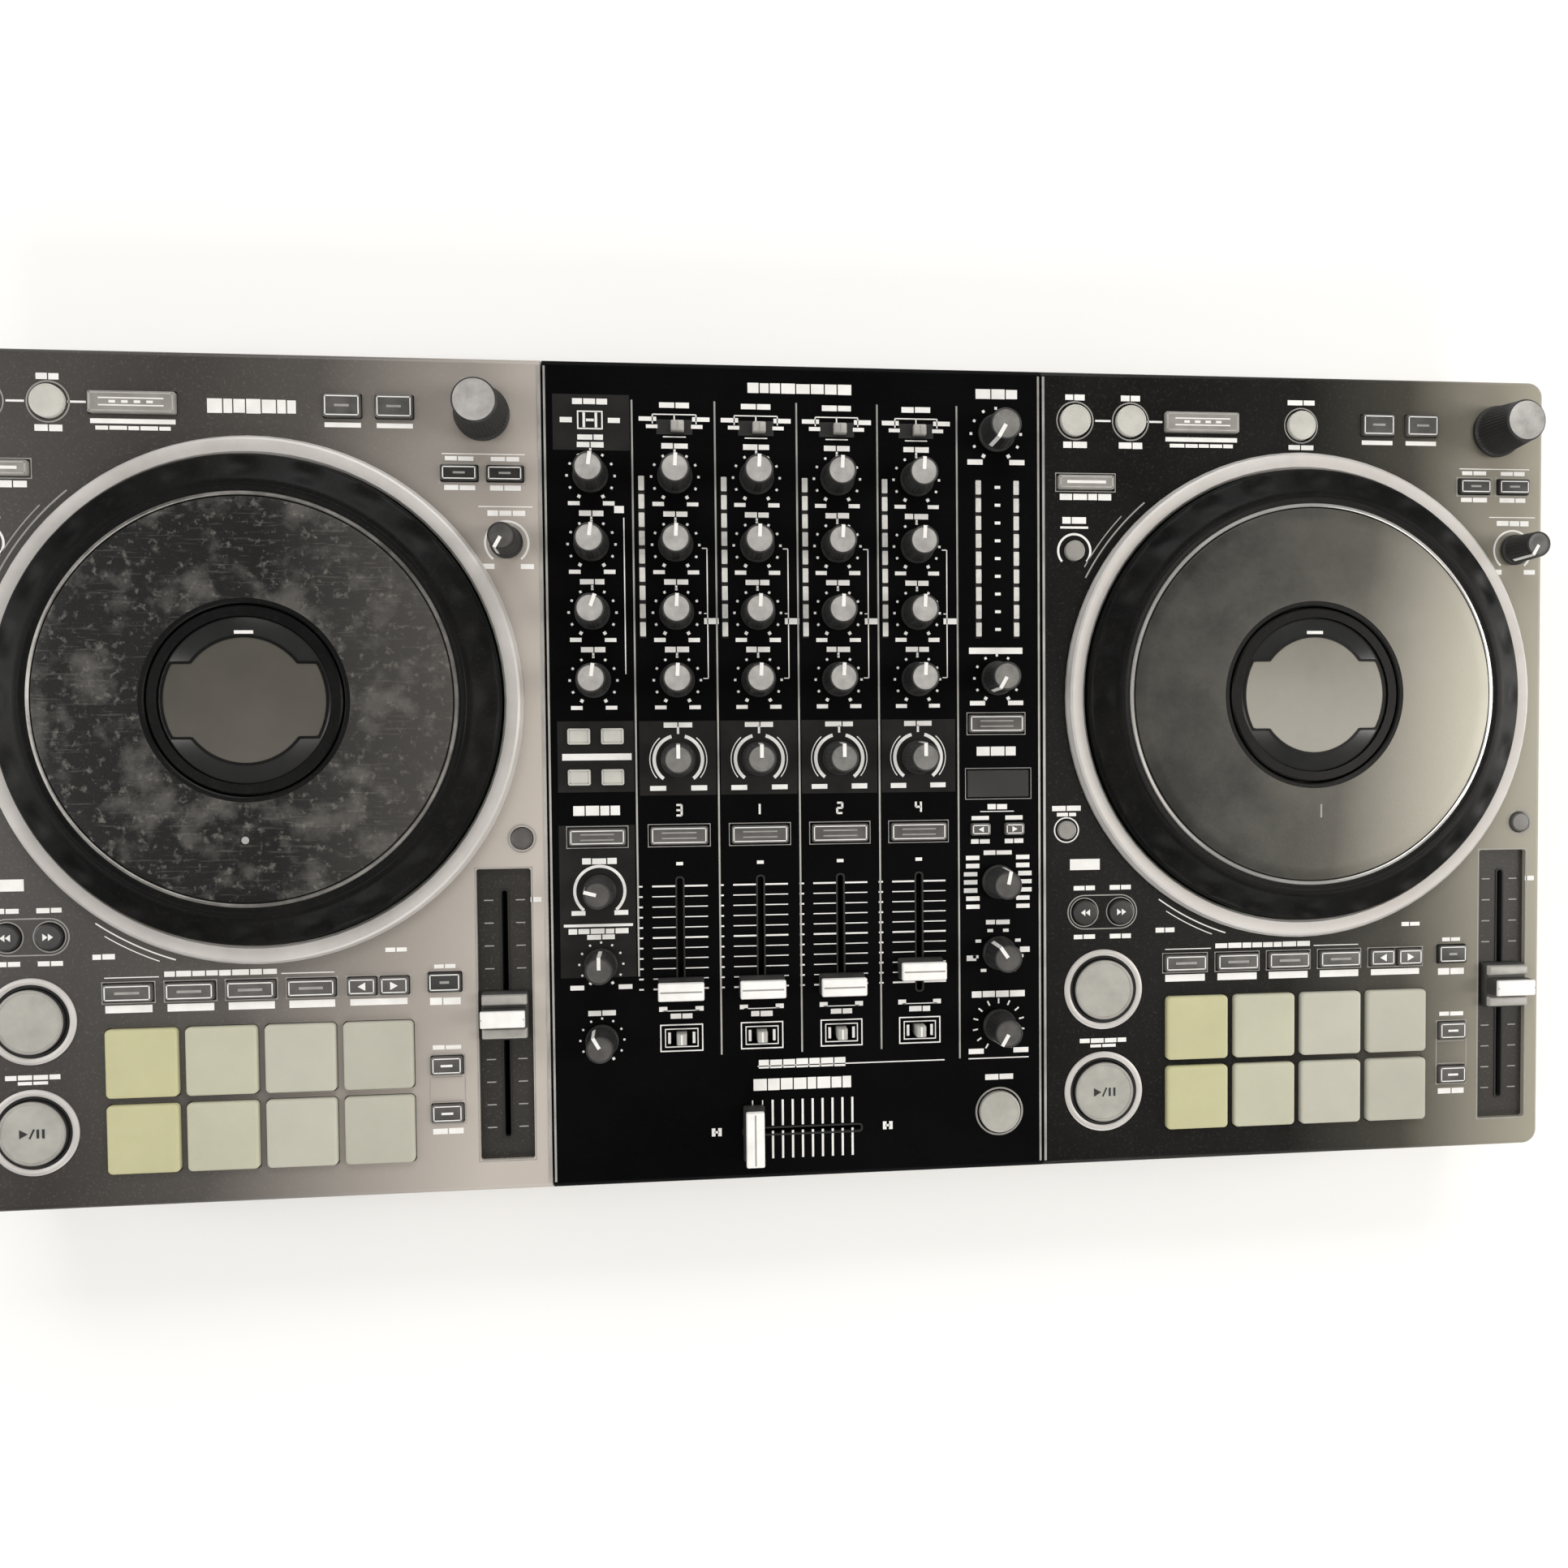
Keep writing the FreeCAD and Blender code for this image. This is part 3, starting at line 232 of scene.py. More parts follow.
# the two display glass materials below are one glass in two tones: the right display's copy is painted lighter, painted
# reflection
MAT["screen"] = material("display_glass_left", (0.065, 0.061, 0.052), (0.092, 0.086, 0.072), rough=(0.16, 0.24), grain=3000, bump=0.02, blotch=12, spec=0.5, coat=0.15, coat_rough=0.1)
MAT["screen_r"] = material("display_glass_right", (0.15, 0.14, 0.115), (0.20, 0.19, 0.158), rough=(0.16, 0.24), grain=3000, bump=0.02, blotch=12, spec=0.5, coat=0.15, coat_rough=0.1)
MAT["screen_edge"] = material("display_bezel_print", (0.012, 0.012, 0.012), rough=(0.15, 0.25), grain=2500, bump=0.03, coat=0.5)
MAT["skirt"] = material("knob_skirt", (0.010, 0.010, 0.010), (0.02, 0.02, 0.02), rough=(0.45, 0.62), grain=2200, bump=0.35, blotch=60)
MAT["knob_top"] = material("knob_top_grey", (0.30, 0.29, 0.28), (0.43, 0.42, 0.405), rough=(0.35, 0.5), grain=2600, bump=0.14, blotch=160, speck=0.2, speck_scale=1600, speck_col=(0.17, 0.165, 0.155))
MAT["knob_mid"] = material("knob_top_mid", (0.13, 0.127, 0.12), (0.21, 0.205, 0.195), rough=(0.35, 0.5), grain=2600, bump=0.12, blotch=160, speck=0.1, speck_scale=1600, speck_col=(0.3, 0.29, 0.28))
MAT["knob_dark"] = material("knob_top_dark", (0.05, 0.048, 0.046), (0.085, 0.08, 0.078), rough=(0.35, 0.5), grain=2600, bump=0.12, blotch=160)
MAT["white"] = material("white_print", (0.74, 0.73, 0.71), (0.84, 0.83, 0.81), rough=(0.45, 0.6), grain=2600, bump=0.05, blotch=120)
MAT["grey_print"] = material("grey_print", (0.26, 0.25, 0.24), (0.34, 0.33, 0.31), rough=(0.45, 0.6), grain=2600, bump=0.05, blotch=120)
MAT["zone"] = material("zone_print", (0.010, 0.0098, 0.0096), (0.02, 0.0195, 0.019), rough=(0.4, 0.55), grain=2600, bump=0.12, blotch=40, spec=0.1)
MAT["seam"] = material("seam_strip", (0.36, 0.355, 0.34), (0.50, 0.49, 0.47), rough=(0.28, 0.4), metal=0.4, grain=2000, bump=0.06, blotch=60)
MAT["pit"] = material("slot_shadow", (0.004, 0.004, 0.004), (0.008, 0.008, 0.008), rough=(0.6, 0.8), grain=1500, bump=0.1)
MAT["recess"] = material("tempo_recess", (0.006, 0.0057, 0.0053), (0.014, 0.013, 0.012), rough=(0.4, 0.55), grain=1800, bump=0.2, blotch=25, speck=0.12, speck_scale=900, spec=0.25)
MAT["cap"] = material("fader_cap_white", (0.80, 0.79, 0.77), (0.90, 0.89, 0.87), rough=(0.35, 0.5), grain=2400, bump=0.12, blotch=120)
MAT["cap_side"] = material("fader_cap_side", (0.03, 0.03, 0.03), (0.055, 0.053, 0.05), rough=(0.4, 0.55), grain=2400, bump=0.2, blotch=120)
MAT["cap_grey"] = material("fader_cap_grey", (0.34, 0.33, 0.31), (0.46, 0.45, 0.42), rough=(0.35, 0.5), grain=2400, bump=0.15, blotch=120)
MAT["key"] = material("key_smoke", (0.055, 0.053, 0.05), (0.10, 0.095, 0.09), rough=(0.3, 0.45), grain=2400, bump=0.12, blotch=90, coat=0.2)
MAT["key_dark"] = material("key_black", (0.012, 0.012, 0.012), (0.024, 0.023, 0.022), rough=(0.3, 0.45), grain=2400, bump=0.12, blotch=90, coat=0.2)
MAT["key_mid"] = material("key_grey", (0.22, 0.21, 0.195), (0.30, 0.29, 0.27), rough=(0.34, 0.5), grain=2400, bump=0.12, blotch=90, coat=0.15)
MAT["key_light"] = material("key_light", (0.47, 0.465, 0.43), (0.57, 0.565, 0.52), rough=(0.34, 0.5), grain=2400, bump=0.12, blotch=90, sss=0.2)
MAT["key_cue"] = material("key_transport", (0.34, 0.335, 0.305), (0.43, 0.425, 0.385), rough=(0.34, 0.5), grain=2400, bump=0.12, blotch=90, sss=0.2)
MAT["led"] = material("meter_segment", (0.56, 0.55, 0.52), (0.68, 0.67, 0.64), rough=(0.25, 0.35), grain=2600, bump=0.05, blotch=300, coat=0.3)
PADM = [material("pad_silicone_%d" % i, tuple(c * 0.9 for c in cc), cc, rough=(0.48, 0.62), grain=1800, bump=0.3, blotch=22, speck=0.12, speck_scale=1300, speck_col=(0.5, 0.46, 0.34), sss=0.35, spec=0.35)
        for i, cc in enumerate([(0.53, 0.515, 0.31), (0.515, 0.51, 0.395), (0.505, 0.50, 0.425), (0.465, 0.46, 0.39)])]


# ------------------------------------------------------------------ mesh building, in millimetres
class Mesh:
    def __init__(self):
        self.v, self.f, self.m, self.mats = [], [], [], []

    def mi(self, key):
        mat = MAT[key] if isinstance(key, str) else key
        if mat not in self.mats:
            self.mats.append(mat)
        return self.mats.index(mat)

    def poly(self, pts, z, key):
        k = len(self.v)
        self.v += [(x, y, z) for x, y in pts]
        self.f.append(list(range(k, k + len(pts))))
        self.m.append(self.mi(key))

    def slab(self, pts, z0, z1, key):
        """closed thin prism of a simple outline given counter-clockwise"""
        n, k = len(pts), len(self.v)
        self.v += [(x, y, z0) for x, y in pts] + [(x, y, z1) for x, y in pts]
        mi = self.mi(key)
        self.f.append([k + i for i in reversed(range(n))]); self.m.append(mi)
        self.f.append([k + n + i for i in range(n)]); self.m.append(mi)
        for i in range(n):
            j = (i + 1) % n
            self.f.append([k + i, k + j, k + n + j, k + n + i]); self.m.append(mi)

    def rings(self, rows, keys, closed_top=True, closed_bottom=True):
        """rows of equal-length rings of (x, y, z), joined upward; keys is one key per band"""
        n = len(rows[0])
        k = len(self.v)
        for r in rows:
            self.v += list(r)
        for i in range(len(rows) - 1):
            mi = self.mi(keys[i] if isinstance(keys, list) else keys)
            for j in range(n):
                q = (j + 1) % n
                self.f.append([k + i * n + j, k + i * n + q, k + (i + 1) * n + q, k + (i + 1) * n + j]); self.m.append(mi)
        kb = keys[0] if isinstance(keys, list) else keys
        kt = keys[-1] if isinstance(keys, list) else keys
        if closed_bottom:
            self.f.append([k + j for j in reversed(range(n))]); self.m.append(self.mi(kb))
        if closed_top:
            o = k + (len(rows) - 1) * n
            self.f.append([o + j for j in range(n)]); self.m.append(self.mi(kt))

    def lathe(self, x, y, prof, keys, seg=64, bottom=True, top=True, fn=None):
        rows = []
        for r, z in prof:
            row = []
            for j in range(seg):
                a = 2 * math.pi * j / seg
                rr, zz = (r, z) if fn is None else fn(r, z, a)
                row.append((x + rr * math.cos(a), y + rr * math.sin(a), zz))
            rows.append(row)
        self.rings(rows, keys, top, bottom)

    def tube(self, x, y, prof, keys, seg=64, fn=None):
        """closed ring profile, turned round an axis"""
        rows = []
        for r, z in prof + [prof[0]]:
            row = []
            for j in range(seg):
                a = 2 * math.pi * j / seg
                rr, zz = (r, z) if fn is None else fn(r, z, a)
                row.append((x + rr * math.cos(a), y + rr * math.sin(a), zz))
            rows.append(row)
        self.rings(rows, keys, False, False)

    def obj(self, name, body, slot, replaces=(), smooth=35.0, bevel=0.0):
        me = bpy.data.meshes.new(name)
        me.from_pydata([(a * S, b * S, c * S) for a, b, c in self.v], [], self.f)
        for mt in self.mats:
            me.materials.append(mt)
        me.polygons.foreach_set("material_index", self.m)
        me.polygons.foreach_set("use_smooth", [True] * len(self.f))
        me.validate()
        me.update()
        ob = bpy.data.objects.new(name, me)
        bpy.context.scene.collection.objects.link(ob)
        me.set_sharp_from_angle(angle=math.radians(smooth))
        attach(ob, body)
        if replaces:
            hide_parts(*replaces)
        return ob


def rrect(cx, cy, w, d, r, n=5, inset=0.0):
    w, d = w - 2 * inset, d - 2 * inset
    r = max(0.02, min(r - inset * 0.6, w / 2 - 0.001, d / 2 - 0.001))
    out = []
    for sx, sy, a0 in ((1, 1, 0), (-1, 1, 90), (-1, -1, 180), (1, -1, 270)):
        for i in range(n + 1):
            a = math.radians(a0 + 90.0 * i / n)
            out.append((cx + sx * (w / 2 - r) + r * math.cos(a), cy + sy * (d / 2 - r) + r * math.sin(a)))
    return out


def rect_pts(cx, cy, w, h, rot=0.0):
    c, s = math.cos(math.radians(rot)), math.sin(math.radians(rot))
    return [(cx + x * c - y * s, cy + x * s + y * c) for x, y in ((-w / 2, -h / 2), (w / 2, -h / 2), (w / 2, h / 2), (-w / 2, h / 2))]


def loft(m, cx, cy, w, d, r, levels, keys, n=5):
    """levels: (inset, z)"""
    rows = [[(x, y, z) for x, y in rrect(cx, cy, w, d, r, n, ins)] for ins, z in levels]
    m.rings(rows, keys)


PZ0, PZ1 = ZT + 0.01, ZT + 0.05


class Print(Mesh):
    """ink on the panel: thin closed slabs"""

    def bar(self, cx, cy, w, h, key="white", rot=0.0, z=0.0):
        self.slab(rect_pts(cx, cy, w, h, rot), PZ0 + z, PZ1 + z, key)

    def line(self, x0, y0, x1, y1, t=0.4, key="white", z=0.0):
        L = math.hypot(x1 - x0, y1 - y0)
        self.bar((x0 + x1) / 2, (y0 + y1) / 2, L, t, key, math.degrees(math.atan2(y1 - y0, x1 - x0)), z)

    def arc(self, cx, cy, r, a0, a1, t=0.6, key="white", n=None, z=0.0):
        """angles are clockwise from 12 o'clock"""
        n = n or max(3, int(abs(a1 - a0) / 7))
        for i in range(n):
            b0, b1 = (math.radians(90 - (a0 + (a1 - a0) * q / n)) for q in (i, i + 1))
            p = [(cx + (r - t / 2) * math.cos(b0), cy + (r - t / 2) * math.sin(b0)), (cx + (r - t / 2) * math.cos(b1), cy + (r - t / 2) * math.sin(b1)),
                 (cx + (r + t / 2) * math.cos(b1), cy + (r + t / 2) * math.sin(b1)), (cx + (r + t / 2) * math.cos(b0), cy + (r + t / 2) * math.sin(b0))]
            area = sum(p[i][0] * p[(i + 1) % 4][1] - p[(i + 1) % 4][0] * p[i][1] for i in range(4))
            self.slab(p if area > 0 else p[::-1], PZ0 + z, PZ1 + z, key)

    def frame(self, cx, cy, w, h, t=0.4, key="white", z=0.0):
        self.bar(cx, cy + h / 2 - t / 2, w, t, key, 0, z)
        self.bar(cx, cy - h / 2 + t / 2, w, t, key, 0, z)
        self.bar(cx - w / 2 + t / 2, cy, t, h - 2 * t, key, 0, z)
        self.bar(cx + w / 2 - t / 2, cy, t, h - 2 * t, key, 0, z)

    def label(self, cx, cy, w, h=1.9, key="white", z=0.0):
        """a stand-in for a word: a dashed bar"""
        h *= 1.22
        n = max(1, int(round(w / 5.5)))
        parts = [0.7 + 0.6 * random.random() for _ in range(n)]
        gap = 0.55
        k = (w - gap * (n - 1)) / sum(parts)
        x = cx - w / 2
        for p in parts:
            ww = p * k
            self.bar(x + ww / 2, cy + random.uniform(-0.05, 0.05), ww, h * random.uniform(0.9, 1.0), key, 0, z)
            x += ww + gap


def dot_ring(p, x, y, r=10.3, n=11, s=1.05, lab=True):
    for i in range(n):
        a = math.radians(90 - (-150 + 300.0 * i / (n - 1)))
        k = 1.35 if i in (0, n - 1) else 1.0
        p.bar(x + r * math.cos(a), y + r * math.sin(a), s * k, s * k, "white", math.degrees(a))
    if lab:
        p.label(x - 7.4, y - 11.9, 5.0, 1.5)
        p.label(x + 7.6, y - 11.9, 5.0, 1.5)


# ------------------------------------------------------------------ carried-over CAD nodes
def paint(node_name, *keys):
    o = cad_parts[node_name]
    o.data.materials.clear()
    for k in keys:
        o.data.materials.append(MAT[k])
    return o


# left half of the deck panels takes the lighter copy of the plate finish and the right half the darker: painted light
# and shade
o = paint("deck_panels", "deck_l", "deck_r", "recess")
for p in o.data.polygons:
    c = p.center
    p.material_index = 0 if c.x < 0 else 1
    if abs(c.z - (ZT - 2.0) * S) < 0.0003 and p.normal.z > 0.9:
        p.material_index = 2
paint("mixer_panel", "mixer")
paint("bottom_case", "case")
paint("rubber_feet", "rubber")
paint("case_screws", "screw")
paint("control_boards", "board", "hub")
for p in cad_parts["control_boards"].data.polygons:
    p.material_index = 0 if (p.center.z < 0.0359 and p.center.z > 0.0341) or p.center.z < 0.0137 else 1
paint("jog_surround_rings", "ring")
paint("jog_display_hubs", "hub")
o = paint("socket_set", "socket", "nickel", "gold")
for p in o.data.polygons:
    c = p.center / S
    if c.y > 168.7 and c.y > 0:
        for x in (-62.0, -14.0, 24.0, 62.0, 104.0):
            if abs(c.x - x) < 4.6:
                p.material_index = 1
        for x in (-226.0, -200.0, 190.0):
            if abs(c.x - x) < 7.6 and c.y > 169.8:
                p.material_index = 1
        if abs(c.x - 83.0) < 5.2:
            p.material_index = 1
    for x in (-150.0, -112.0):
        dx, dz = c.x - x, c.z - 21.5
        if c.y > 153.0 and c.y < 166.0 and math.hypot(dx, dz) < 8.0:
            p.material_index = 2
    for x in (226.0, 250.0):
        if abs(c.x - x) < 6.2 and c.y > 157:
            p.material_index = 1
paint("power_rocker", "key_dark")

# painted sheen: warm lighter films painted over the deck plates, jog plates and tempo recesses, growing towards the
# right, standing in for reflected light
painted_sheen_gradient(MAT["deck_l"], -354, -110, [(0.0, 0.08), (0.25, 0.06), (0.5, 0.13), (0.72, 0.5), (1.0, 0.95)], (0.50, 0.455, 0.41), 0.16)
painted_sheen_gradient(MAT["deck_r"], 110, 354, [(0.0, 0.0), (0.5, 0.01), (0.72, 0.10), (0.86, 0.42), (1.0, 0.66)], (0.50, 0.47, 0.38))
painted_sheen_gradient(MAT["plate_l"], -330, -135, [(0.0, 0.0), (0.55, 0.0), (0.8, 0.26), (1.0, 0.42)], (0.15, 0.14, 0.128))
painted_sheen_gradient(MAT["plate_r"], 135, 325, [(0.0, 0.02), (0.35, 0.03), (0.6, 0.12), (0.85, 0.6), (1.0, 0.9)], (0.56, 0.53, 0.44), 0.12)
painted_sheen_gradient(MAT["recess"], -140, -115, [(0.0, 0.1), (1.0, 0.2)], (0.12, 0.108, 0.094))


# ------------------------------------------------------------------ knobs
KN = []
for c, nm in zip(COLS[1:5], ("3", "1", "2", "4")):
    for row, fn in zip(ROWS, ("trim", "eq_high", "eq_mid", "eq_low")):
        KN.append(("knob_%s_ch%s" % (fn, nm), c, row, 3.0, 1.0, "light"))
    KN.append(("knob_color_ch%s" % nm, c, 7.4, 0.0, 1.0, "grey"))
for row, fn, a in zip(ROWS, ("mic1_level", "mic2_level", "mic_high", "mic_low"), (8.0, 8.0, 20.0, 8.0)):
    KN.append(("knob_%s" % fn, COLS[0], row, a, 1.0, "light"))
KN += [("knob_sampler_level", -88.6, -49.9, -75.0, 0.95, "dark"), ("knob_phones_mix", -88.4, -82.2, 0.0, 0.95, "dark"), ("knob_phones_level", -88.4, -115.8, -30.0, 0.95, "dark"),
       ("knob_master_level", 90.0, 152.0, -150.0, 1.1, "grey"), ("knob_booth_level", 90.0, 42.6, -150.0, 1.0, "grey"), ("knob_fx_select", 90.0, -49.3, 12.0, 1.0, "dark"),
       ("knob_fx_channel", 90.0, -81.6, -35.0, 1.0, "dark"), ("knob_fx_depth", 90.1, -114.8, -150.0, 1.0, "dark")]
for side, x0 in SIDES:
    KN.append(("knob_jog_adjust_%s" % side, x0 + 227.8, 101.8, -150.0, 0.92, "dark"))


def knob(name, x, y, ang, k, kind, z1=69.6, r0=7.7, r1=6.3, z0=54.0):
    m = Mesh()
    r0, r1 = r0 * k, r1 * k
    nf = 26 if r0 < 9 else 40
    seg = nf * 6

    def flute(r, z, a):
        if z0 + 3.0 < z < z1 - 1.6 and r > r1 * 0.9:
            return r - 0.22 * (0.5 + 0.5 * math.cos(nf * a)), z
        return r, z

    top = {"light": "knob_top", "grey": "knob_mid", "dark": "knob_dark"}[kind]
    rt = r1 - 0.75
    prof = [(3.3, z0 + 0.02), (r0 - 0.25, z0 + 0.02), (r0, z0 + 0.3), (r0, z0 + 1.4), (r0 - 0.2, z0 + 1.8), (r0 - 0.7, z0 + 2.3), (r0 - 0.75, z0 + 3.2)]
    for q in range(1, 6):
        t = q / 6.0
        prof.append((r0 - 0.75 + (r1 - r0 + 0.75) * t, z0 + 3.2 + (z1 - 1.7 - z0 - 3.2) * t))
    prof += [(r1, z1 - 1.5), (r1, z1 - 0.7), (r1 - 0.2, z1 - 0.25), (rt, z1 - 0.08), (rt - 0.12, z1 - 0.3), (rt - 0.3, z1 - 0.34), (rt * 0.6, z1 - 0.2), (0.4, z1 - 0.14)]
    keys = ["skirt"] * (len(prof) - 1)
    for i in range(len(prof) - 4, len(prof) - 1):
        keys[i] = top
    m.lathe(x, y, prof, keys, seg, fn=flute)
    a = math.radians(90 - ang)
    # pointer: a white bar on the face and down the side of the skirt
    pw = 1.6 * k
    c0, c1 = 0.5 if kind != "light" else r1 * 0.12, r1 - 0.12
    cx, cy = x + math.cos(a) * (c0 + c1) / 2, y + math.sin(a) * (c0 + c1) / 2
    m.slab(rect_pts(cx, cy, c1 - c0, pw, 90 - ang), z1 - 0.5, z1 - 0.02, "white")
    sx, sy = math.cos(a), math.sin(a)
    rows = []
    for t in (0.0, 1.0):
        zz = z0 + 4.0 + (z1 - 0.6 - z0 - 4.0) * t
        rr = (r0 - 0.72 + (r1 - r0 + 0.75) * (zz - z0 - 3.2) / (z1 - 1.7 - z0 - 3.2)) if zz < z1 - 1.5 else r1
        rr = max(rr, r1)
        rows.append((rr, zz))
    (ra, za), (rb, zb) = rows
    k0 = len(m.v)
    for rr, zz in ((ra - 0.5, za), (ra + 0.04, za), (rb + 0.04, zb), (rb - 0.5, zb)):
        for s in (-1, 1):
            m.v.append((x + sx * rr - sy * s * pw / 2, y + sy * rr + sx * s * pw / 2, zz))
    mi = m.mi("white")
    for fc in ([0, 1, 3, 2], [2, 3, 5, 4], [4, 5, 7, 6], [6, 7, 1, 0], [0, 2, 4, 6], [1, 7, 5, 3]):
        m.f.append([k0 + i for i in fc]); m.m.append(mi)
    # shaft below the cap
    m.lathe(x, y, [(3.0, 42.05), (3.0, z0 + 0.5)], "nickel", 24)
    m.obj("cap_" + name, name, "control_black", [name])


for n, x, y, a, k, kind in KN:
    knob(n, x, y, a, k, kind)


def browse(side, x0):
    x, y = x0 + 218.3, 156.6
    m = Mesh()
    z0, z1, r0, r1 = 54.0, 73.35, 11.8, 9.4
    nf = 44

    def flute(r, z, a):
        if z0 + 2.6 < z < z1 - 1.4 and r > r1 * 0.9:
            return r - 0.35 * (0.5 + 0.5 * math.cos(nf * a)), z
        return r, z

    prof = [(3.3, z0 + 0.02), (r0 - 0.3, z0 + 0.02), (r0, z0 + 0.4), (r0, z0 + 1.8), (r0 - 0.5, z0 + 2.4), (r0 - 0.7, z0 + 2.9)]
    for q in range(1, 7):
        t = q / 7.0
        prof.append((r0 - 0.7 + (r1 - r0 + 0.7) * t, z0 + 2.9 + (z1 - 1.5 - z0 - 2.9) * t))
    prof += [(r1, z1 - 1.3), (r1, z1 - 0.6), (r1 - 0.5, z1 - 0.1), (r1 - 0.8, z1), (r1 - 1.0, z1 - 0.12), (r1 * 0.5, z1 - 0.3), (0.4, z1 - 0.36)]
    keys = ["skirt"] * (len(prof) - 1)
    for i in range(len(prof) - 4, len(prof) - 1):
        keys[i] = "knob_top"
    m.lathe(x, y, prof, keys, nf * 6, fn=flute)
    m.lathe(x, y, [(3.0, 42.05), (3.0, z0 + 0.5)], "nickel", 24)
    n = "browse_selector_%s" % side
    m.obj("cap_" + n, n, "control_black", [n])


for side, x0 in SIDES:
    browse(side, x0)


# ------------------------------------------------------------------ jog wheels
def jog(side, x0):
    jx, jy = x0 + 122.5, 33.8
    m = Mesh()
    nd = 24

    def fn(r, z, a):
        if 92.8 < r < 101.6 and z > 58:
            w = math.sin(math.pi * (r - 92.8) / 8.8)
            c = max(0.0, math.cos(nd * a / 2.0) ** 2 - 0.35) / 0.65
            return r, z - 1.15 * w * c
        return r, z

    plate = "plate_l" if side == "left" else "plate_r"
    prof = [(20.6, 40.6), (26.9, 40.6), (26.9, 54.3), (60.0, 54.3), (96.5, 54.3), (102.2, 54.3), (102.8, 54.9), (102.85, 57.5), (102.85, 60.1), (102.3, 61.0), (101.6, 61.55)]
    keys = ["rim"] * (len(prof) - 1)
    for q in range(1, 10):
        t = q / 10.0
        prof.append((101.6 + (92.8 - 101.6) * t, 61.55 + (64.6 - 61.55) * t)); keys.append("rim")
    prof += [(92.6, 64.7), (91.8, 65.1), (91.0, 65.3), (89.6, 65.32), (89.2, 65.62), (88.2, 65.7), (87.5, 65.4), (86.2, 65.35)]
    keys += ["rim"] * 8
    prof += [(85.9, 65.85), (84.9, 66.02), (84.5, 65.7)]
    # the thin ring: painted-light copy on the right wheel, painted-shade copy on the left
    keys += ["bright" if side == "right" else "ring_shaded_copy"] * 3
    prof += [(84.3, 65.3), (84.0, 65.3), (83.8, 66.0), (83.2, 66.27)]
    keys += ["rim", "rim", plate, plate]
    for r in (78.0, 72.0, 65.0, 58.0, 50.0, 42.2):
        prof.append((r, 66.27)); keys.append(plate)
    prof += [(40.6, 66.2), (40.0, 65.8), (39.9, 64.5), (39.85, 57.45), (20.6, 57.45)]
    keys += ["hub", "hub", "hub", "hub", "hub"]
    keys.append("hub")
    m.tube(jx, jy, prof, keys, 288, fn)
    n = "jog_wheel_%s" % side
    m.obj("wheel_" + side, n, "jog_dark", [n], smooth=28)
    # the mark on the plate that shows where the wheel stands
    q = Mesh()
    if side == "right":
        q.slab(rect_pts(jx + 3, jy - 52.5, 0.9, 6.0), 66.28, 66.34, "grey_print")
    else:
        q.slab(rrect(jx - 1.0, jy - 58.0, 3.0, 3.0, 1.4), 66.28, 66.34, "knob_top")
    q.obj("wheel_mark_" + side, n, "jog_dark")


for side, x0 in SIDES:
    jog(side, x0)


def screen_outline(cx, cy, rc=25.9, rb=32.5, hb=15.0, inset=0.0):
    """round display window with a wider straight-sided band across it"""
    rc, rb, hb = rc - inset, rb - inset, hb - inset
    pts = []
    N = 240
    for i in range(N):
        a = 2 * math.pi * i / N
        c, s = math.cos(a), math.sin(a)
        r = rc
        # ray against the band clipped by the larger circle
        if abs(s) * rb <= hb:
            r = rb
        elif hb / abs(s) > rc:
            r = hb / abs(s)
        pts.append((cx + r * c, cy + r * s))
    return pts


dm = Mesh()
for side, x0 in SIDES:
    jx, jy = x0 + 122.5, 33.8
    dm.lathe(jx, jy, [(34.5, 64.5), (34.5, 65.5), (34.2, 65.7), (0.5, 65.7)], "screen_edge", 96)
    dm.slab(screen_outline(jx, jy), 65.71, 65.86, "screen" if side == "left" else "screen_r")
    dm.slab(rect_pts(jx, jy + 28.1, 7.6, 1.4), 65.71, 65.9, "white")
    # raised black lip round the window
    for inset, key in ((-0.9, "hub"),):
        outer, inner = screen_outline(jx, jy, inset=-1.1), screen_outline(jx, jy, inset=0.0)
        k = len(dm.v)
        n = len(outer)
        dm.v += [(x, y, 65.72) for x, y in outer] + [(x, y, 66.15) for x, y in outer] + [(x, y, 66.15) for x, y in inner] + [(x, y, 65.87) for x, y in inner]
        mi = dm.mi("hub")
        for j in range(n):
            q = (j + 1) % n
            for a in range(3):
                dm.f.append([k + a * n + j, k + a * n + q, k + (a + 1) * n + q, k + (a + 1) * n + j]); dm.m.append(mi)
            dm.f.append([k + 3 * n + j, k + 3 * n + q, k + q, k + j]); dm.m.append(mi)
for x in (-68.3, -32.3, 3.5, 39.3, 81.9, 99.3):
    dm.slab(rect_pts(x, 96.3, 3.0, 71.2), 49.7, 52.2, "pit")
    for i in range(9):
        yy = 128.2 - i * 7.95
        dm.slab(rrect(x, yy, 2.5, 6.2, 0.3, 2), 52.2, 52.8, "led")
dm.slab(rect_pts(90.4, -4.9, 28.2, 12.0), 49.7, 52.82, "screen_edge")
dm.obj("display_faces", "case", "window_smoke", ["display_windows"])


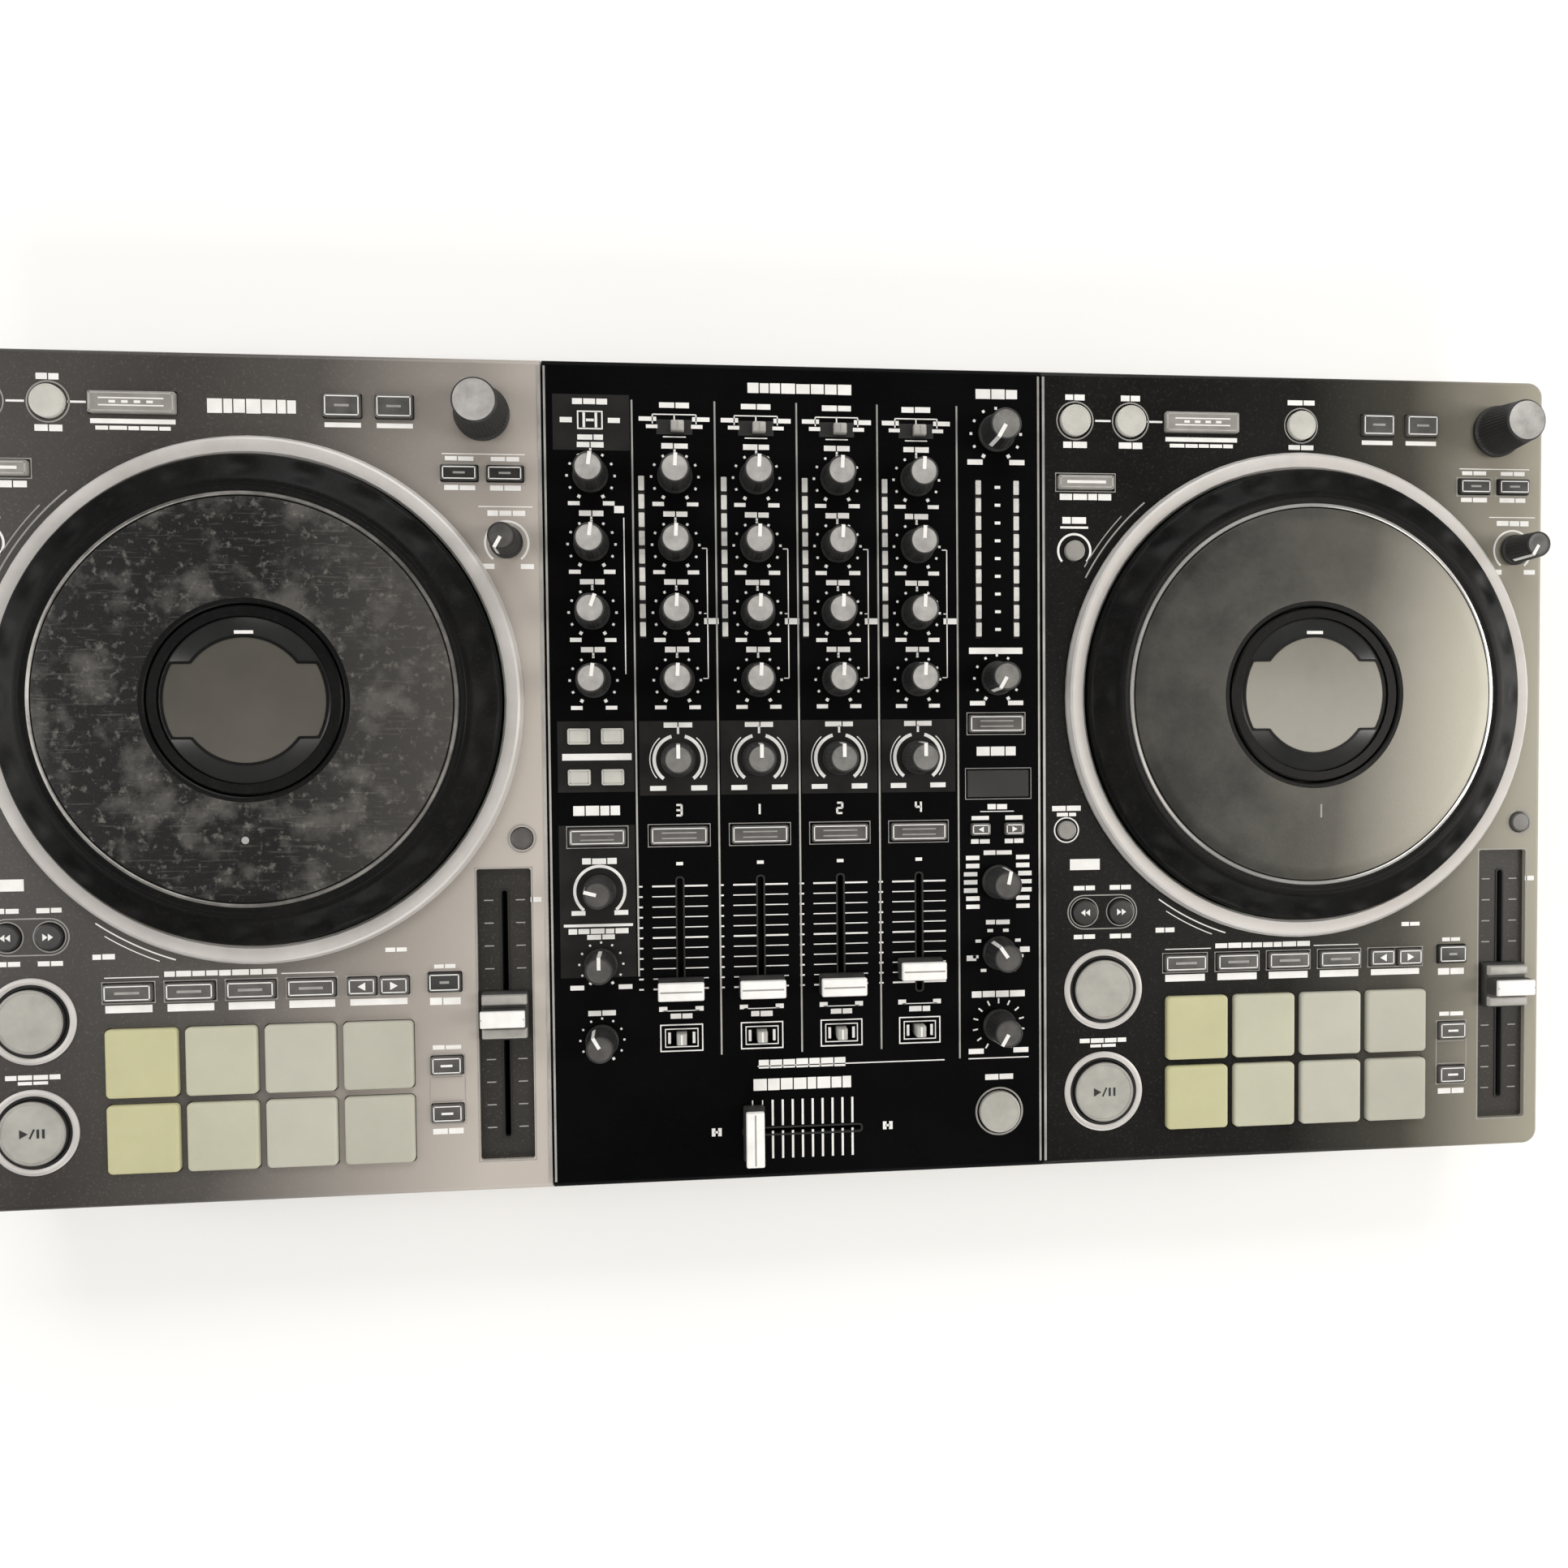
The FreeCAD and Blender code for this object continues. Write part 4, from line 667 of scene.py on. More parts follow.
# ------------------------------------------------------------------ faders
def fader_cap(name, cx, cy, across, along, zb, h, turn, kind, slot_name="control_black"):
    """across and along the travel; turn swaps them for the crossfader"""
    m = Mesh()

    def put(w, l, r, levels, keys, dy=0.0):
        if turn:
            loft(m, cx + dy, cy, l, w, r, levels, keys)
        else:
            loft(m, cx, cy + dy, w, l, r, levels, keys)

    if kind == "tempo":
        put(across, along, 1.2, [(0.3, zb), (0.0, zb + 0.5), (0.2, zb + 3.6), (0.8, zb + 4.4)], "cap_side")
        for dy, ll, hh, key in ((7.3, 4.6, 6.2, "cap_grey"), (-7.3, 4.6, 6.2, "cap_grey"), (0.0, 7.6, h, "cap")):
            put(across - 0.6, ll, 0.7, [(0.0, zb + 4.0), (0.1, zb + hh - 1.0), (0.45, zb + hh - 0.25), (0.9, zb + hh)], ["cap_side" if hh == h else key, key, key], dy)
        put(across - 1.6, 0.8, 0.2, [(0.0, zb + h - 0.5), (0.0, zb + h - 0.02)], "grey_print")
    else:
        put(across, along, 1.0, [(0.3, zb), (0.0, zb + 0.5), (0.15, zb + 3.0), (0.7, zb + 5.4), (0.85, zb + h - 1.2)], "cap_side")
        put(across - 0.4, along - 1.5, 0.8, [(0.0, zb + h - 2.2), (0.0, zb + h - 0.7), (0.35, zb + h - 0.2), (0.8, zb + h - 0.05)], "cap")
        put(across - 2.2, 0.7, 0.2, [(0.0, zb + h - 0.5), (0.0, zb + h)], "grey_print")
    if turn:
        loft(m, cx, cy, 4.0, 1.2, 0.1, [(0, 41.6), (0, zb + 1.0)], "nickel", 1)
    else:
        loft(m, cx, cy, 1.2, 4.0, 0.1, [(0, 41.6), (0, zb + 1.0)], "nickel", 1)
    m.obj("cap_" + name, name, slot_name, [name])


for c, nm, r in zip(COLS[1:5], ("3", "1", "2", "4"), (-22.0, -22.0, -22.0, -16.0)):
    fader_cap("channel_fader_%s" % nm, c, -71.3 + r, 20.4, 9.4, 53.85, 10.8, False, "channel")
for side, x0 in SIDES:
    fader_cap("tempo_fader_%s" % side, x0 + 224.0, -103.2, 19.9, 21.2, 51.85, 11.3, False, "tempo")
fader_cap("crossfader", -22.0, -159.2, 24.8, 9.5, 53.85, 11.3, True, "channel")

# ------------------------------------------------------------------ slide switch levers
m = Mesh()
for c in COLS[1:5]:
    loft(m, c, 152.6, 3.7, 3.5, 0.5, [(0, 44.5), (0, 52.9), (0.1, 53.2)], "skirt", 3)
    loft(m, c + 1.3, 152.6, 5.8, 4.8, 0.6, [(0.2, 53.1), (0, 53.4), (0, 55.6), (0.25, 56.1), (0.6, 56.35)], "cap_grey", 3)
    m.slab(rect_pts(c + 1.3, 152.6, 0.6, 3.6), 56.3, 56.4, "grey_print")
    loft(m, c, -115.9, 4.5, 5.3, 0.6, [(0, 44.5), (0, 56.4), (0.25, 56.9), (0.6, 57.15)], "cap_grey", 3)
    m.slab(rect_pts(c, -115.9, 0.8, 4.4), 57.14, 57.2, "white")
m.obj("switch_levers", "slide_switch_levers", "control_black", ["slide_switch_levers"])

# ------------------------------------------------------------------ keys and pads
DECK_RECT = {
    "loop_exit": (75.3, 158.7, 35.0, 9.2, "mid"), "key_shift_a": (160.2, 158.9, 15.6, 9.8, "smoke"), "key_shift_b": (181.7, 158.9, 15.6, 9.8, "smoke"),
    "back": (208.3, 131.3, 15.4, 6.8, "dark"), "view": (227.6, 131.3, 15.4, 6.8, "dark"), "shift": (20.7, 130.9, 26.0, 6.4, "mid"),
    "mode_1": (67.6, -88.8, 20.0, 7.6, "smoke"), "mode_2": (92.7, -88.8, 20.0, 7.6, "smoke"), "mode_3": (117.6, -88.8, 20.0, 7.6, "smoke"), "mode_4": (142.6, -88.8, 20.0, 7.6, "smoke"),
    "page_left": (163.6, -88.8, 12.0, 7.6, "smoke"), "page_right": (177.2, -88.8, 12.0, 7.6, "smoke"), "sync": (198.4, -88.0, 14.0, 8.4, "dark"),
    "param_up": (198.7, -124.4, 13.4, 8.0, "smoke"), "param_down": (198.7, -145.3, 13.4, 8.0, "smoke")}
DECK_ROUND = {"loop_in": (15.9, 158.6, 7.0, "light"), "loop_out": (41.8, 158.7, 7.0, "light"), "quantize": (123.1, 158.2, 6.6, "light"), "slip": (15.4, 100.1, 4.6, "mid"),
              "vinyl": (11.4, -26.5, 4.2, "mid"), "key_lock": (232.2, -26.2, 4.6, "smoke"), "search_back": (19.7, -64.3, 5.6, "dark"), "search_on": (36.7, -64.3, 5.6, "dark")}
TRANSPORT = {"cue": (28.4, -99.9, 13.9), "play": (28.4, -147.0, 13.9)}
MIX_RECT = {"fx_1": (-96.7, 17.9, 9.8, 7.0), "fx_2": (-82.2, 17.9, 9.8, 7.0), "fx_3": (-96.7, 0.0, 9.8, 7.0), "fx_4": (-82.2, 0.0, 9.8, 7.0), "sampler_cue": (-89.3, -26.2, 24.6, 7.4),
            "cue_3": (COLS[1], -26.0, 25.2, 8.0), "cue_1": (COLS[2], -26.0, 25.2, 8.0), "cue_2": (COLS[3], -26.0, 25.2, 8.0), "cue_4": (COLS[4], -26.0, 25.2, 8.0),
            "master_cue": (89.5, 22.2, 25.2, 8.0), "beat_left": (82.0, -25.5, 9.0, 5.6), "beat_right": (97.6, -25.5, 9.0, 5.6)}
FX_ON = (90.2, -154.4, 9.4)
KEYM = {"light": "key_light", "mid": "key_mid", "smoke": "key", "dark": "key_dark"}


def rkey(m, x, y, w, d, tone):
    z = ZT + 1.6
    loft(m, x, y, w, d, 0.9, [(0, 46.6), (0, z - 0.5), (0.15, z - 0.2), (0.45, z - 0.05), (0.55, z - 0.04)], KEYM[tone], 4)
    # lit outline and legend moulded into the key face
    t = 0.45
    for cx, cy, ww, hh in ((x, y + d / 2 - 0.95, w - 1.5, t), (x, y - d / 2 + 0.95, w - 1.5, t), (x - w / 2 + 0.95, y, t, d - 1.5), (x + w / 2 - 0.95, y, t, d - 1.5)):
        m.slab(rect_pts(cx, cy, ww, hh), z - 0.06, z - 0.005, "white" if tone in ("dark", "smoke") else "cap_grey")


km = Mesh()
legend = Print()
for side, x0 in SIDES:
    for n, (x, y, w, d, tone) in DECK_RECT.items():
        rkey(km, x0 + x, y, w, d, tone)
        if n == "loop_exit":
            for q in (-1, 1):
                km.slab(rect_pts(x0 + x, y + q * 1.5, w - 9, 0.55), ZT + 1.56, ZT + 1.6, "white")
            for q in (-1.5, -0.5, 0.5, 1.5):
                km.slab(rect_pts(x0 + x + q * 5.0, y, 2.6, 1.1), ZT + 1.56, ZT + 1.6, "white")
        elif n in ("shift",):
            km.slab(rect_pts(x0 + x, y, w - 8, 1.3), ZT + 1.56, ZT + 1.6, "white")
        elif n.startswith("mode") or n in ("sync",):
            km.slab(rect_pts(x0 + x, y, w - 10, 1.1), ZT + 1.56, ZT + 1.6, "grey_print")
        elif n in ("page_left", "page_right"):
            s = -1 if n == "page_left" else 1
            km.slab([(x0 + x - 1.6, y - 1.8), (x0 + x + 1.6, y), (x0 + x - 1.6, y + 1.8)] if s > 0 else [(x0 + x + 1.6, y - 1.8), (x0 + x + 1.6, y + 1.8), (x0 + x - 1.6, y)], ZT + 1.56, ZT + 1.6, "white")
        elif n in ("param_up", "param_down"):
            km.slab(rect_pts(x0 + x, y, 5.0, 1.0), ZT + 1.56, ZT + 1.6, "white")
        elif n in ("key_shift_a", "key_shift_b"):
            km.slab(rect_pts(x0 + x, y, 6.0, 1.0), ZT + 1.56, ZT + 1.6, "grey_print")
        elif n in ("back", "view"):
            km.slab(rect_pts(x0 + x, y, 5.0, 0.9), ZT + 1.56, ZT + 1.6, "grey_print")
    for n, (x, y, r, tone) in DECK_ROUND.items():
        if n == "quantize" and side == "left":
            continue
        z = ZT + 1.6
        km.lathe(x0 + x, y, [(r, 46.6), (r, z - 0.5), (r - 0.2, z - 0.15), (r - 0.6, z - 0.04), (r - 0.75, z - 0.2), (r * 0.5, z - 0.15), (0.3, z - 0.12)],
                 ["key_dark" if tone == "dark" else KEYM[tone]] * 6, 48)
        if n.startswith("search"):
            s = -1 if n == "search_back" else 1
            for q in (-1.1, 1.1):
                cx = x0 + x + q * s
                km.slab([(cx - 1.0, y - 1.5), (cx + 1.0, y), (cx - 1.0, y + 1.5)] if s > 0 else [(cx + 1.0, y - 1.5), (cx + 1.0, y + 1.5), (cx - 1.0, y)], z - 0.14, z - 0.02, "white")
for n, (x, y, w, d) in MIX_RECT.items():
    rkey(km, x, y, w, d, "light" if n.startswith("fx_") else "smoke")
    if n.startswith("cue_") or n in ("master_cue", "sampler_cue"):
        for q in (-1, 1):
            km.slab(rect_pts(x, y + q * 1.2, w - 10, 0.6), ZT + 1.56, ZT + 1.6, "grey_print")
    elif n.startswith("beat"):
        s = -1 if n == "beat_left" else 1
        km.slab([(x - 1.2, y - 1.3), (x + 1.2, y), (x - 1.2, y + 1.3)] if s > 0 else [(x + 1.2, y - 1.3), (x + 1.2, y + 1.3), (x - 1.2, y)], ZT + 1.56, ZT + 1.6, "white")
z = ZT + 2.0
km.lathe(FX_ON[0], FX_ON[1], [(9.4, 46.6), (9.4, z - 0.5), (9.1, z - 0.15), (8.5, z - 0.02), (8.3, z - 0.2), (4.0, z - 0.12), (0.3, z - 0.1)], "key_cue", 64)
km.obj("button_caps", "small_buttons", "key_grey", ["small_buttons"])

tm = Mesh()
for side, x0 in SIDES:
    for n, (x, y, r) in TRANSPORT.items():
        z = ZT + 2.0
        tm.lathe(x0 + x, y, [(r, 46.6), (r, z - 0.7), (r - 0.3, z - 0.2), (r - 0.9, z - 0.02), (r - 1.3, z - 0.02), (r - 1.5, z - 0.25), (r * 0.5, z - 0.16), (0.3, z - 0.12)],
                 ["key_dark", "key_dark", "key_mid", "key_cue", "key_mid", "key_cue", "key_cue"], 96)
        cx, cy = x0 + x, y
        if n == "play":
            tm.slab([(cx - 5.0, cy - 1.9), (cx - 1.6, cy), (cx - 5.0, cy + 1.9)], z - 0.2, z - 0.03, "skirt")
            tm.slab(rect_pts(cx + 2.4, cy, 1.0, 3.8), z - 0.2, z - 0.03, "skirt")
            tm.slab(rect_pts(cx + 4.6, cy, 1.0, 3.8), z - 0.2, z - 0.03, "skirt")
            tm.slab(rect_pts(cx, cy, 0.7, 4.4, -25), z - 0.2, z - 0.03, "skirt")
tm.obj("transport_caps", "play_cue_buttons", "key_clear", ["play_cue_buttons"])

pm = Mesh()
for side, x0 in SIDES:
    for i in range(4):
        for j in range(2):
            px, py = x0 + 72.8 + i * 32.45, -118.8 - j * 32.35
            z = ZT + 2.2
            loft(pm, px, py, 29.3, 29.3, 2.0, [(0, 46.6), (0, z - 1.1), (0.12, z - 0.6), (0.45, z - 0.22), (0.95, z - 0.06), (1.6, z - 0.02), (5.0, z)], PADM[i], 6)
pm.obj("pad_faces", "performance_pads", "pad_silicone", ["performance_pads"])

# ------------------------------------------------------------------ ink and trim on the panels
P = Print()
# seams and mixer column lines
T = Mesh()
for s in (-1, 1):
    T.slab(rect_pts(s * 111.75, 0, 1.1, D - 5.6), ZT + 0.01, ZT + 0.35, "seam")
    T.slab(rect_pts(s * 109.4, 0, 0.9, D - 5.6), ZT + 0.01, ZT + 0.22, "seam")
for x, y0 in ((-72, -88), (-36, -124), (0, -124), (36, -124), (72, -129.5)):
    T.slab(rect_pts(x, (164 + y0) / 2, 0.75, 164 - y0), ZT + 0.01, ZT + 0.14, "seam")
# zones of dark grey ink
for x0_, x1_, y0_, y1_ in ((-70.6, -37, -8.3, 24.4), (-35, -1, -8.3, 24.4), (1, 35, -8.3, 24.4), (37, 70.6, -8.3, 24.4), (-106, -73, -6.5, 24.5), (-106, -73, -88, -21), (-106, -73, 142, 166)):
    P.bar((x0_ + x1_) / 2, (y0_ + y1_) / 2, x1_ - x0_, y1_ - y0_, "zone", 0, -0.009)


def selector_tree(x, y=152.6):
    P.bar(x, y, 15.6, 6.4, "pit", 0, -0.009)
    P.label(x, y + 9.4, 13.0, 2.1)
    P.line(x - 9.5, y + 5.4, x + 9.5, y + 5.4, 0.5)
    for s in (-1, 1):
        P.label(x + s * 11.6, y + 3.4, 7.6, 1.7)
        P.line(x + s * 9.5, y + 5.4, x + s * 9.5, y + 1.4, 0.5)
        P.label(x + s * 9.8, y + 0.2, 5.0, 1.4)
    P.line(x - 5.0, y - 4.3, x + 5.0, y - 4.3, 0.5)
    P.line(x, y + 5.4, x, y + 3.0, 0.6)


for c in COLS[1:5]:
    selector_tree(c)
P.label(COLS[0], 163.0, 15.0, 2.2)
P.frame(COLS[0], 155.0, 11.0, 8.0, 0.6)
for s in (-1, 1):
    P.label(COLS[0] + s * 10.3, 155.0, 5.2, 1.9)
    P.bar(COLS[0] + s * 2.6, 155.0, 1.1, 6.4)
P.bar(COLS[0], 155.0, 3.4, 1.1)
P.label(COLS[0], 147.6, 11.0, 1.9)
for ci, c in enumerate(COLS[:5]):
    for ri, r in enumerate(ROWS):
        dot_ring(P, c, r)
        P.label(c, r + 13.4, 10.5 if ri else 11.5, 2.0)
        P.bar(c, r + 11.2, 0.9, 1.5)
    if ci:
        x = c + 13.6
        P.line(x, 100, x, 43, 0.45)
        P.line(x - 2.2, 100, x, 100, 0.45)
        P.line(x - 2.2, 43, x, 43, 0.45)
        P.line(x - 1.6, 71.5, x, 71.5, 0.45)
        P.label(x + 1.6, 68.2, 6.4, 2.3)
        # ring round the colour knob
        P.arc(c, 7.4, 10.6, -142, -16, 1.5)
        P.arc(c, 7.4, 10.6, 16, 142, 1.5)
        P.arc(c, 7.4, 12.5, -130, -40, 0.4)
        P.arc(c, 7.4, 12.5, 40, 130, 0.4)
        P.bar(c, 20.3, 1.0, 3.2)
        P.label(c, 22.6, 12.5, 1.9)
        P.label(c - 9.0, -5.2, 7.0, 1.9)
        P.label(c + 9.0, -5.2, 7.0, 1.9)
        P.frame(c, -26.0, 27.6, 10.2, 0.35, "grey_print")
P.label(-78.0, 116.5, 4.2, 2.6)
P.line(-76.0, 113.0, -76.0, 45.0, 0.45)


def digit(ch, x, y, h=5.2):
    w, t = h * 0.5, h * 0.2
    seg = {"a": (x, y + h / 2, w, t), "g": (x, y, w, t), "d": (x, y - h / 2, w, t), "f": (x - w / 2, y + h / 4, t, h / 2), "b": (x + w / 2, y + h / 4, t, h / 2),
           "e": (x - w / 2, y - h / 4, t, h / 2), "c": (x + w / 2, y - h / 4, t, h / 2)}
    for s in {"1": "bc", "2": "abged", "3": "abgcd", "4": "fgbc"}[ch]:
        P.bar(*seg[s])


for c, ch in zip(COLS[1:5], "3124"):
    digit(ch, c if ch != "1" else c - 1.2, -14.9, 4.6)
    # channel fader scale
    for i in range(11):
        y = -48.4 - i * 4.56
        long = i in (0, 5, 10)
        P.bar(c - 6.8, y, 10.8, 0.75 if long else 0.45)
        P.bar(c + 6.8, y, 10.8, 0.75 if long else 0.45)
        P.bar(c - 17.4, y, 2.0, 0.7)
    P.label(c, -38.5, 3.0, 1.3)
    P.frame(c, -115.9, 19.0, 12.2, 0.55)
    P.frame(c, -115.9, 14.8, 8.4, 0.45)
    P.label(c, -106.2, 9.6, 2.0)
    P.line(c - 8, -103.8, c + 8, -103.8, 0.4)
    P.label(c - 8.0, -103.0, 3.6, 1.8)
    P.label(c + 8.0, -103.0, 3.6, 1.8)
    P.bar(c - 5.4, -115.9, 1.2, 5.0)
    P.bar(c + 5.4, -115.9, 1.2, 5.0)
P.line(-20, -129.9, 64.9, -129.9, 0.5)
P.label(0, -129.0, 39.0, 3.4)
P.label(0, -138.2, 44.0, 4.4)
for i in range(11):
    x = -22.5 + i * 4.5
    if x > -18:
        P.bar(x, -151.0, 0.95, 11.6)
        P.bar(x, -165.4, 0.95, 12.4)
    else:
        P.bar(x, -151.0, 0.5, 11.6)
        P.bar(x, -165.4, 0.5, 12.4)
for s in (-1, 1):
    P.bar(s * 37.2, -158.8, 1.6, 3.6)
    P.bar(s * 40.0, -158.8, 1.6, 3.6)
    P.bar(s * 38.6, -158.8, 2.0, 1.0)
# left column of the mixer
P.bar(-89, 8.9, 30.0, 2.9)
P.label(-89.5, -14.6, 20.2, 3.6)
P.frame(-89.3, -26.2, 27.0, 9.8, 0.35, "grey_print")
P.arc(-88.6, -49.9, 10.9, -140, 140, 1.3)
P.label(-88.6, -36.8, 15.0, 2.2)
P.label(-98.0, -59.5, 6.0, 1.8)
P.label(-79.4, -59.5, 6.0, 1.8)
P.bar(-89.4, -65.0, 30.0, 1.2)
P.label(-89.4, -67.6, 26.0, 2.0)
for y in (-82.2, -115.8):
    dot_ring(P, -88.4, y, 9.6, 11, 0.9, False)
    P.label(-88.4, y + 12.0, 12.0, 1.9)
P.label(-99.0, -92.4, 6.0, 1.8)
P.label(-78.0, -92.4, 6.0, 1.8)
# right column of the mixer
P.label(90.3, 169.7, 19.0, 3.6)
P.label(1.6, 170.2, 46.0, 3.8)
dot_ring(P, 90.0, 152.0, 11.4, 11, 1.2, False)
P.label(80.4, 139.4, 7.0, 2.0)
P.label(99.6, 139.4, 7.0, 2.0)
for i in range(9):
    P.bar(90.6, 128.2 - i * 7.95, 2.6, 1.3)
P.bar(89.5, 55.0, 24.6, 2.8)
dot_ring(P, 90.0, 42.6, 10.4, 11, 1.1, False)
P.label(81.0, 31.5, 7.0, 1.8)
P.label(98.6, 31.5, 7.0, 1.8)
P.frame(89.5, 22.2, 27.2, 10.2, 0.35, "grey_print")
P.label(89.5, 9.8, 18.0, 3.6)
P.frame(90.4, -4.9, 30.6, 14.2, 0.3, "grey_print")
P.label(89.9, -15.4, 9.0, 2.0)
P.label(82.0, -20.4, 8.0, 1.6)
P.label(97.6, -20.4, 8.0, 1.6)
P.label(82.0, -31.0, 8.6, 1.7)
P.label(97.6, -31.0, 8.6, 1.7)
P.line(82.0, -17.5, 97.6, -17.5, 0.4)
for i in range(7):
    y = -38.4 - i * 3.7
    P.label(78.4 - (1.0 if 1 < i < 5 else 0), y, 6.2, 1.7)
    P.label(101.6 + (1.0 if 1 < i < 5 else 0), y, 6.2, 1.7)
P.label(90, -36.2, 13.0, 1.7)
for i in range(8):
    a = math.radians(90 - (-140 + 40 * i))
    P.bar(90.0 + 10.6 * math.cos(a), -81.6 + 10.6 * math.sin(a), 2.6, 1.4)
P.label(89.9, -67.8, 11.0, 1.8)
P.label(77.6, -84.0, 4.4, 2.2)
P.label(102.4, -80.6, 4.6, 2.2)
P.label(90.0, -100.6, 24.6, 2.4)
for i in range(13):
    a = math.radians(90 - (-150 + 25 * i))
    P.bar(90.1 + 11.0 * math.cos(a), -114.8 + 11.0 * math.sin(a), 2.3, 0.7, "white", math.degrees(a))
P.label(79.6, -126.6, 7.0, 2.0)
P.label(100.4, -126.6, 7.0, 2.0)
P.line(76, -129.9, 104, -129.9, 0.5)
P.label(90.2, -138.6, 13.0, 2.2)
P.arc(90.2, -154.4, 10.7, 0, 360, 0.8, "grey_print")

for side, x0 in SIDES:
    # loop keys joined by dashes
    for x in (28.9, 53.2):
        P.line(x0 + x - 3.6, 158.7, x0 + x + 3.6, 158.7, 0.9)
    for x in (15.9, 41.8):
        P.arc(x0 + x, 158.6, 8.4, 0, 360, 0.6, "grey_print")
        P.label(x0 + x, 169.0, 9.0, 2.2)
        P.label(x0 + x, 147.8, 11.0, 2.4)
    P.bar(x0 + 75.3, 151.0, 34.0, 2.0)
    P.label(x0 + 75.3, 148.2, 30.0, 1.4)
    if side == "left":
        P.label(x0 + 123.1, 158.2, 36.0, 5.0)
    else:
        P.arc(x0 + 123.1, 158.2, 7.9, 0, 360, 0.5, "grey_print")
        P.label(x0 + 123.1, 168.6, 13.0, 2.0)
        P.label(x0 + 123.1, 148.2, 12.0, 1.8)
    P.bar(x0 + 160.2, 151.0, 15.0, 2.0)
    P.bar(x0 + 181.7, 151.0, 15.0, 2.0)
    for x in (208.3, 227.6):
        P.label(x0 + x, 125.2, 13.0, 1.8)
        P.label(x0 + x, 137.6, 12.0, 1.6)
        P.frame(x0 + x, 131.3, 17.6, 9.0, 0.35, "grey_print")
    P.line(x0 + 201, 139.6, x0 + 236, 139.6, 0.4)
    P.label(x0 + 20.7, 124.4, 24.0, 2.4)
    P.frame(x0 + 20.7, 130.9, 28.2, 8.6, 0.4, "grey_print")
    P.label(x0 + 15.4, 113.8, 11.0, 2.6)
    P.bar(x0 + 15.4, 110.6, 13.0, 1.0)
    P.arc(x0 + 15.4, 100.1, 7.5, -130, 130, 1.0)
    P.arc(x0 + 227.8, 101.8, 9.2, -140, 140, 0.9)
    P.label(x0 + 227.8, 114.4, 16.0, 2.0)
    P.line(x0 + 216, 117.2, x0 + 239, 117.2, 0.4)
    P.label(x0 + 219.4, 91.6, 6.0, 1.9)
    P.label(x0 + 236.4, 91.6, 5.6, 1.9)
    P.arc(x0 + 11.4, -26.5, 5.6, 0, 360, 0.6)
    P.label(x0 + 11.4, -16.6, 13.4, 2.0)
    P.label(x0 + 11.4, -19.4, 9.0, 1.4)
    P.bar(x0 + 20.0, -42.4, 14.0, 5.0)
    P.arc(x0 + 232.2, -26.2, 6.0, 0, 360, 0.6, "grey_print")
    # search keys in one capsule
    P.line(x0 + 19.7, -56.6, x0 + 36.7, -56.6, 0.5, "grey_print")
    P.line(x0 + 19.7, -72.0, x0 + 36.7, -72.0, 0.5, "grey_print")
    P.arc(x0 + 19.7, -64.3, 7.7, 180, 360, 0.5, "grey_print")
    P.arc(x0 + 36.7, -64.3, 7.7, 0, 180, 0.5, "grey_print")
    for x in (19.7, 36.7):
        P.arc(x0 + x, -64.3, 6.5, 0, 360, 0.45, "grey_print")
        P.label(x0 + x, -53.2, 10.0, 1.8)
        P.label(x0 + x, -75.6, 10.0, 1.8)
    for n, (x, y, r) in TRANSPORT.items():
        T.tube(x0 + x, y, [(15.6, ZT + 0.01), (18.3, ZT + 0.01), (18.3, ZT + 0.55), (17.6, ZT + 0.9), (16.4, ZT + 0.9), (15.6, ZT + 0.5)], "ring", 96)
        T.tube(x0 + x, y, [(14.35, ZT - 0.6), (15.6, ZT - 0.6), (15.6, ZT + 0.28), (14.35, ZT + 0.2)], "pit", 96)
    P.label(x0 + 28.4, -123.6, 22.0, 1.8)
    P.label(x0 + 28.4, -126.0, 12.0, 1.2)
    P.label(x0 + 105.2, -81.4, 46.0, 2.0)
    P.line(x0 + 58, -82.4, x0 + 80, -82.4, 0.4)
    P.line(x0 + 130, -82.4, x0 + 152, -82.4, 0.4)
    for x in (67.6, 92.7, 117.6, 142.6):
        P.bar(x0 + x, -95.8, 19.0, 3.2)
        P.frame(x0 + x, -88.8, 21.8, 9.4, 0.35, "grey_print")
    P.bar(x0 + 170.4, -95.8, 24.0, 2.8)
    P.frame(x0 + 170.4, -88.8, 27.6, 9.4, 0.35, "grey_print")
    P.label(x0 + 198.4, -96.4, 13.0, 2.6)
    P.label(x0 + 198.4, -81.2, 9.0, 1.5)
    P.frame(x0 + 198.7, -134.9, 15.4, 30.6, 0.4, "grey_print")
    P.line(x0 + 192.2, -129.6, x0 + 205.2, -129.6, 0.4, "grey_print")
    P.line(x0 + 192.2, -140.2, x0 + 205.2, -140.2, 0.4, "grey_print")
    P.label(x0 + 198.7, -116.6, 12.0, 1.6)
    P.label(x0 + 198.7, -153.4, 13.0, 2.2)
    # tempo scale
    for i in range(11):
        y = -53.2 - i * 10.0
        P.bar(x0 + 217.2, y, 4.0, 0.5 if i != 5 else 0.9, "grey_print", 0, -2.0)
        P.bar(x0 + 230.8, y, 4.0, 0.5 if i != 5 else 0.9, "grey_print", 0, -2.0)
    P.frame(x0 + 224.0, -103.15, 25.0, 129.2, 0.5, "grey_print")
    P.label(x0 + 237.8, -53.0, 4.6, 1.8)
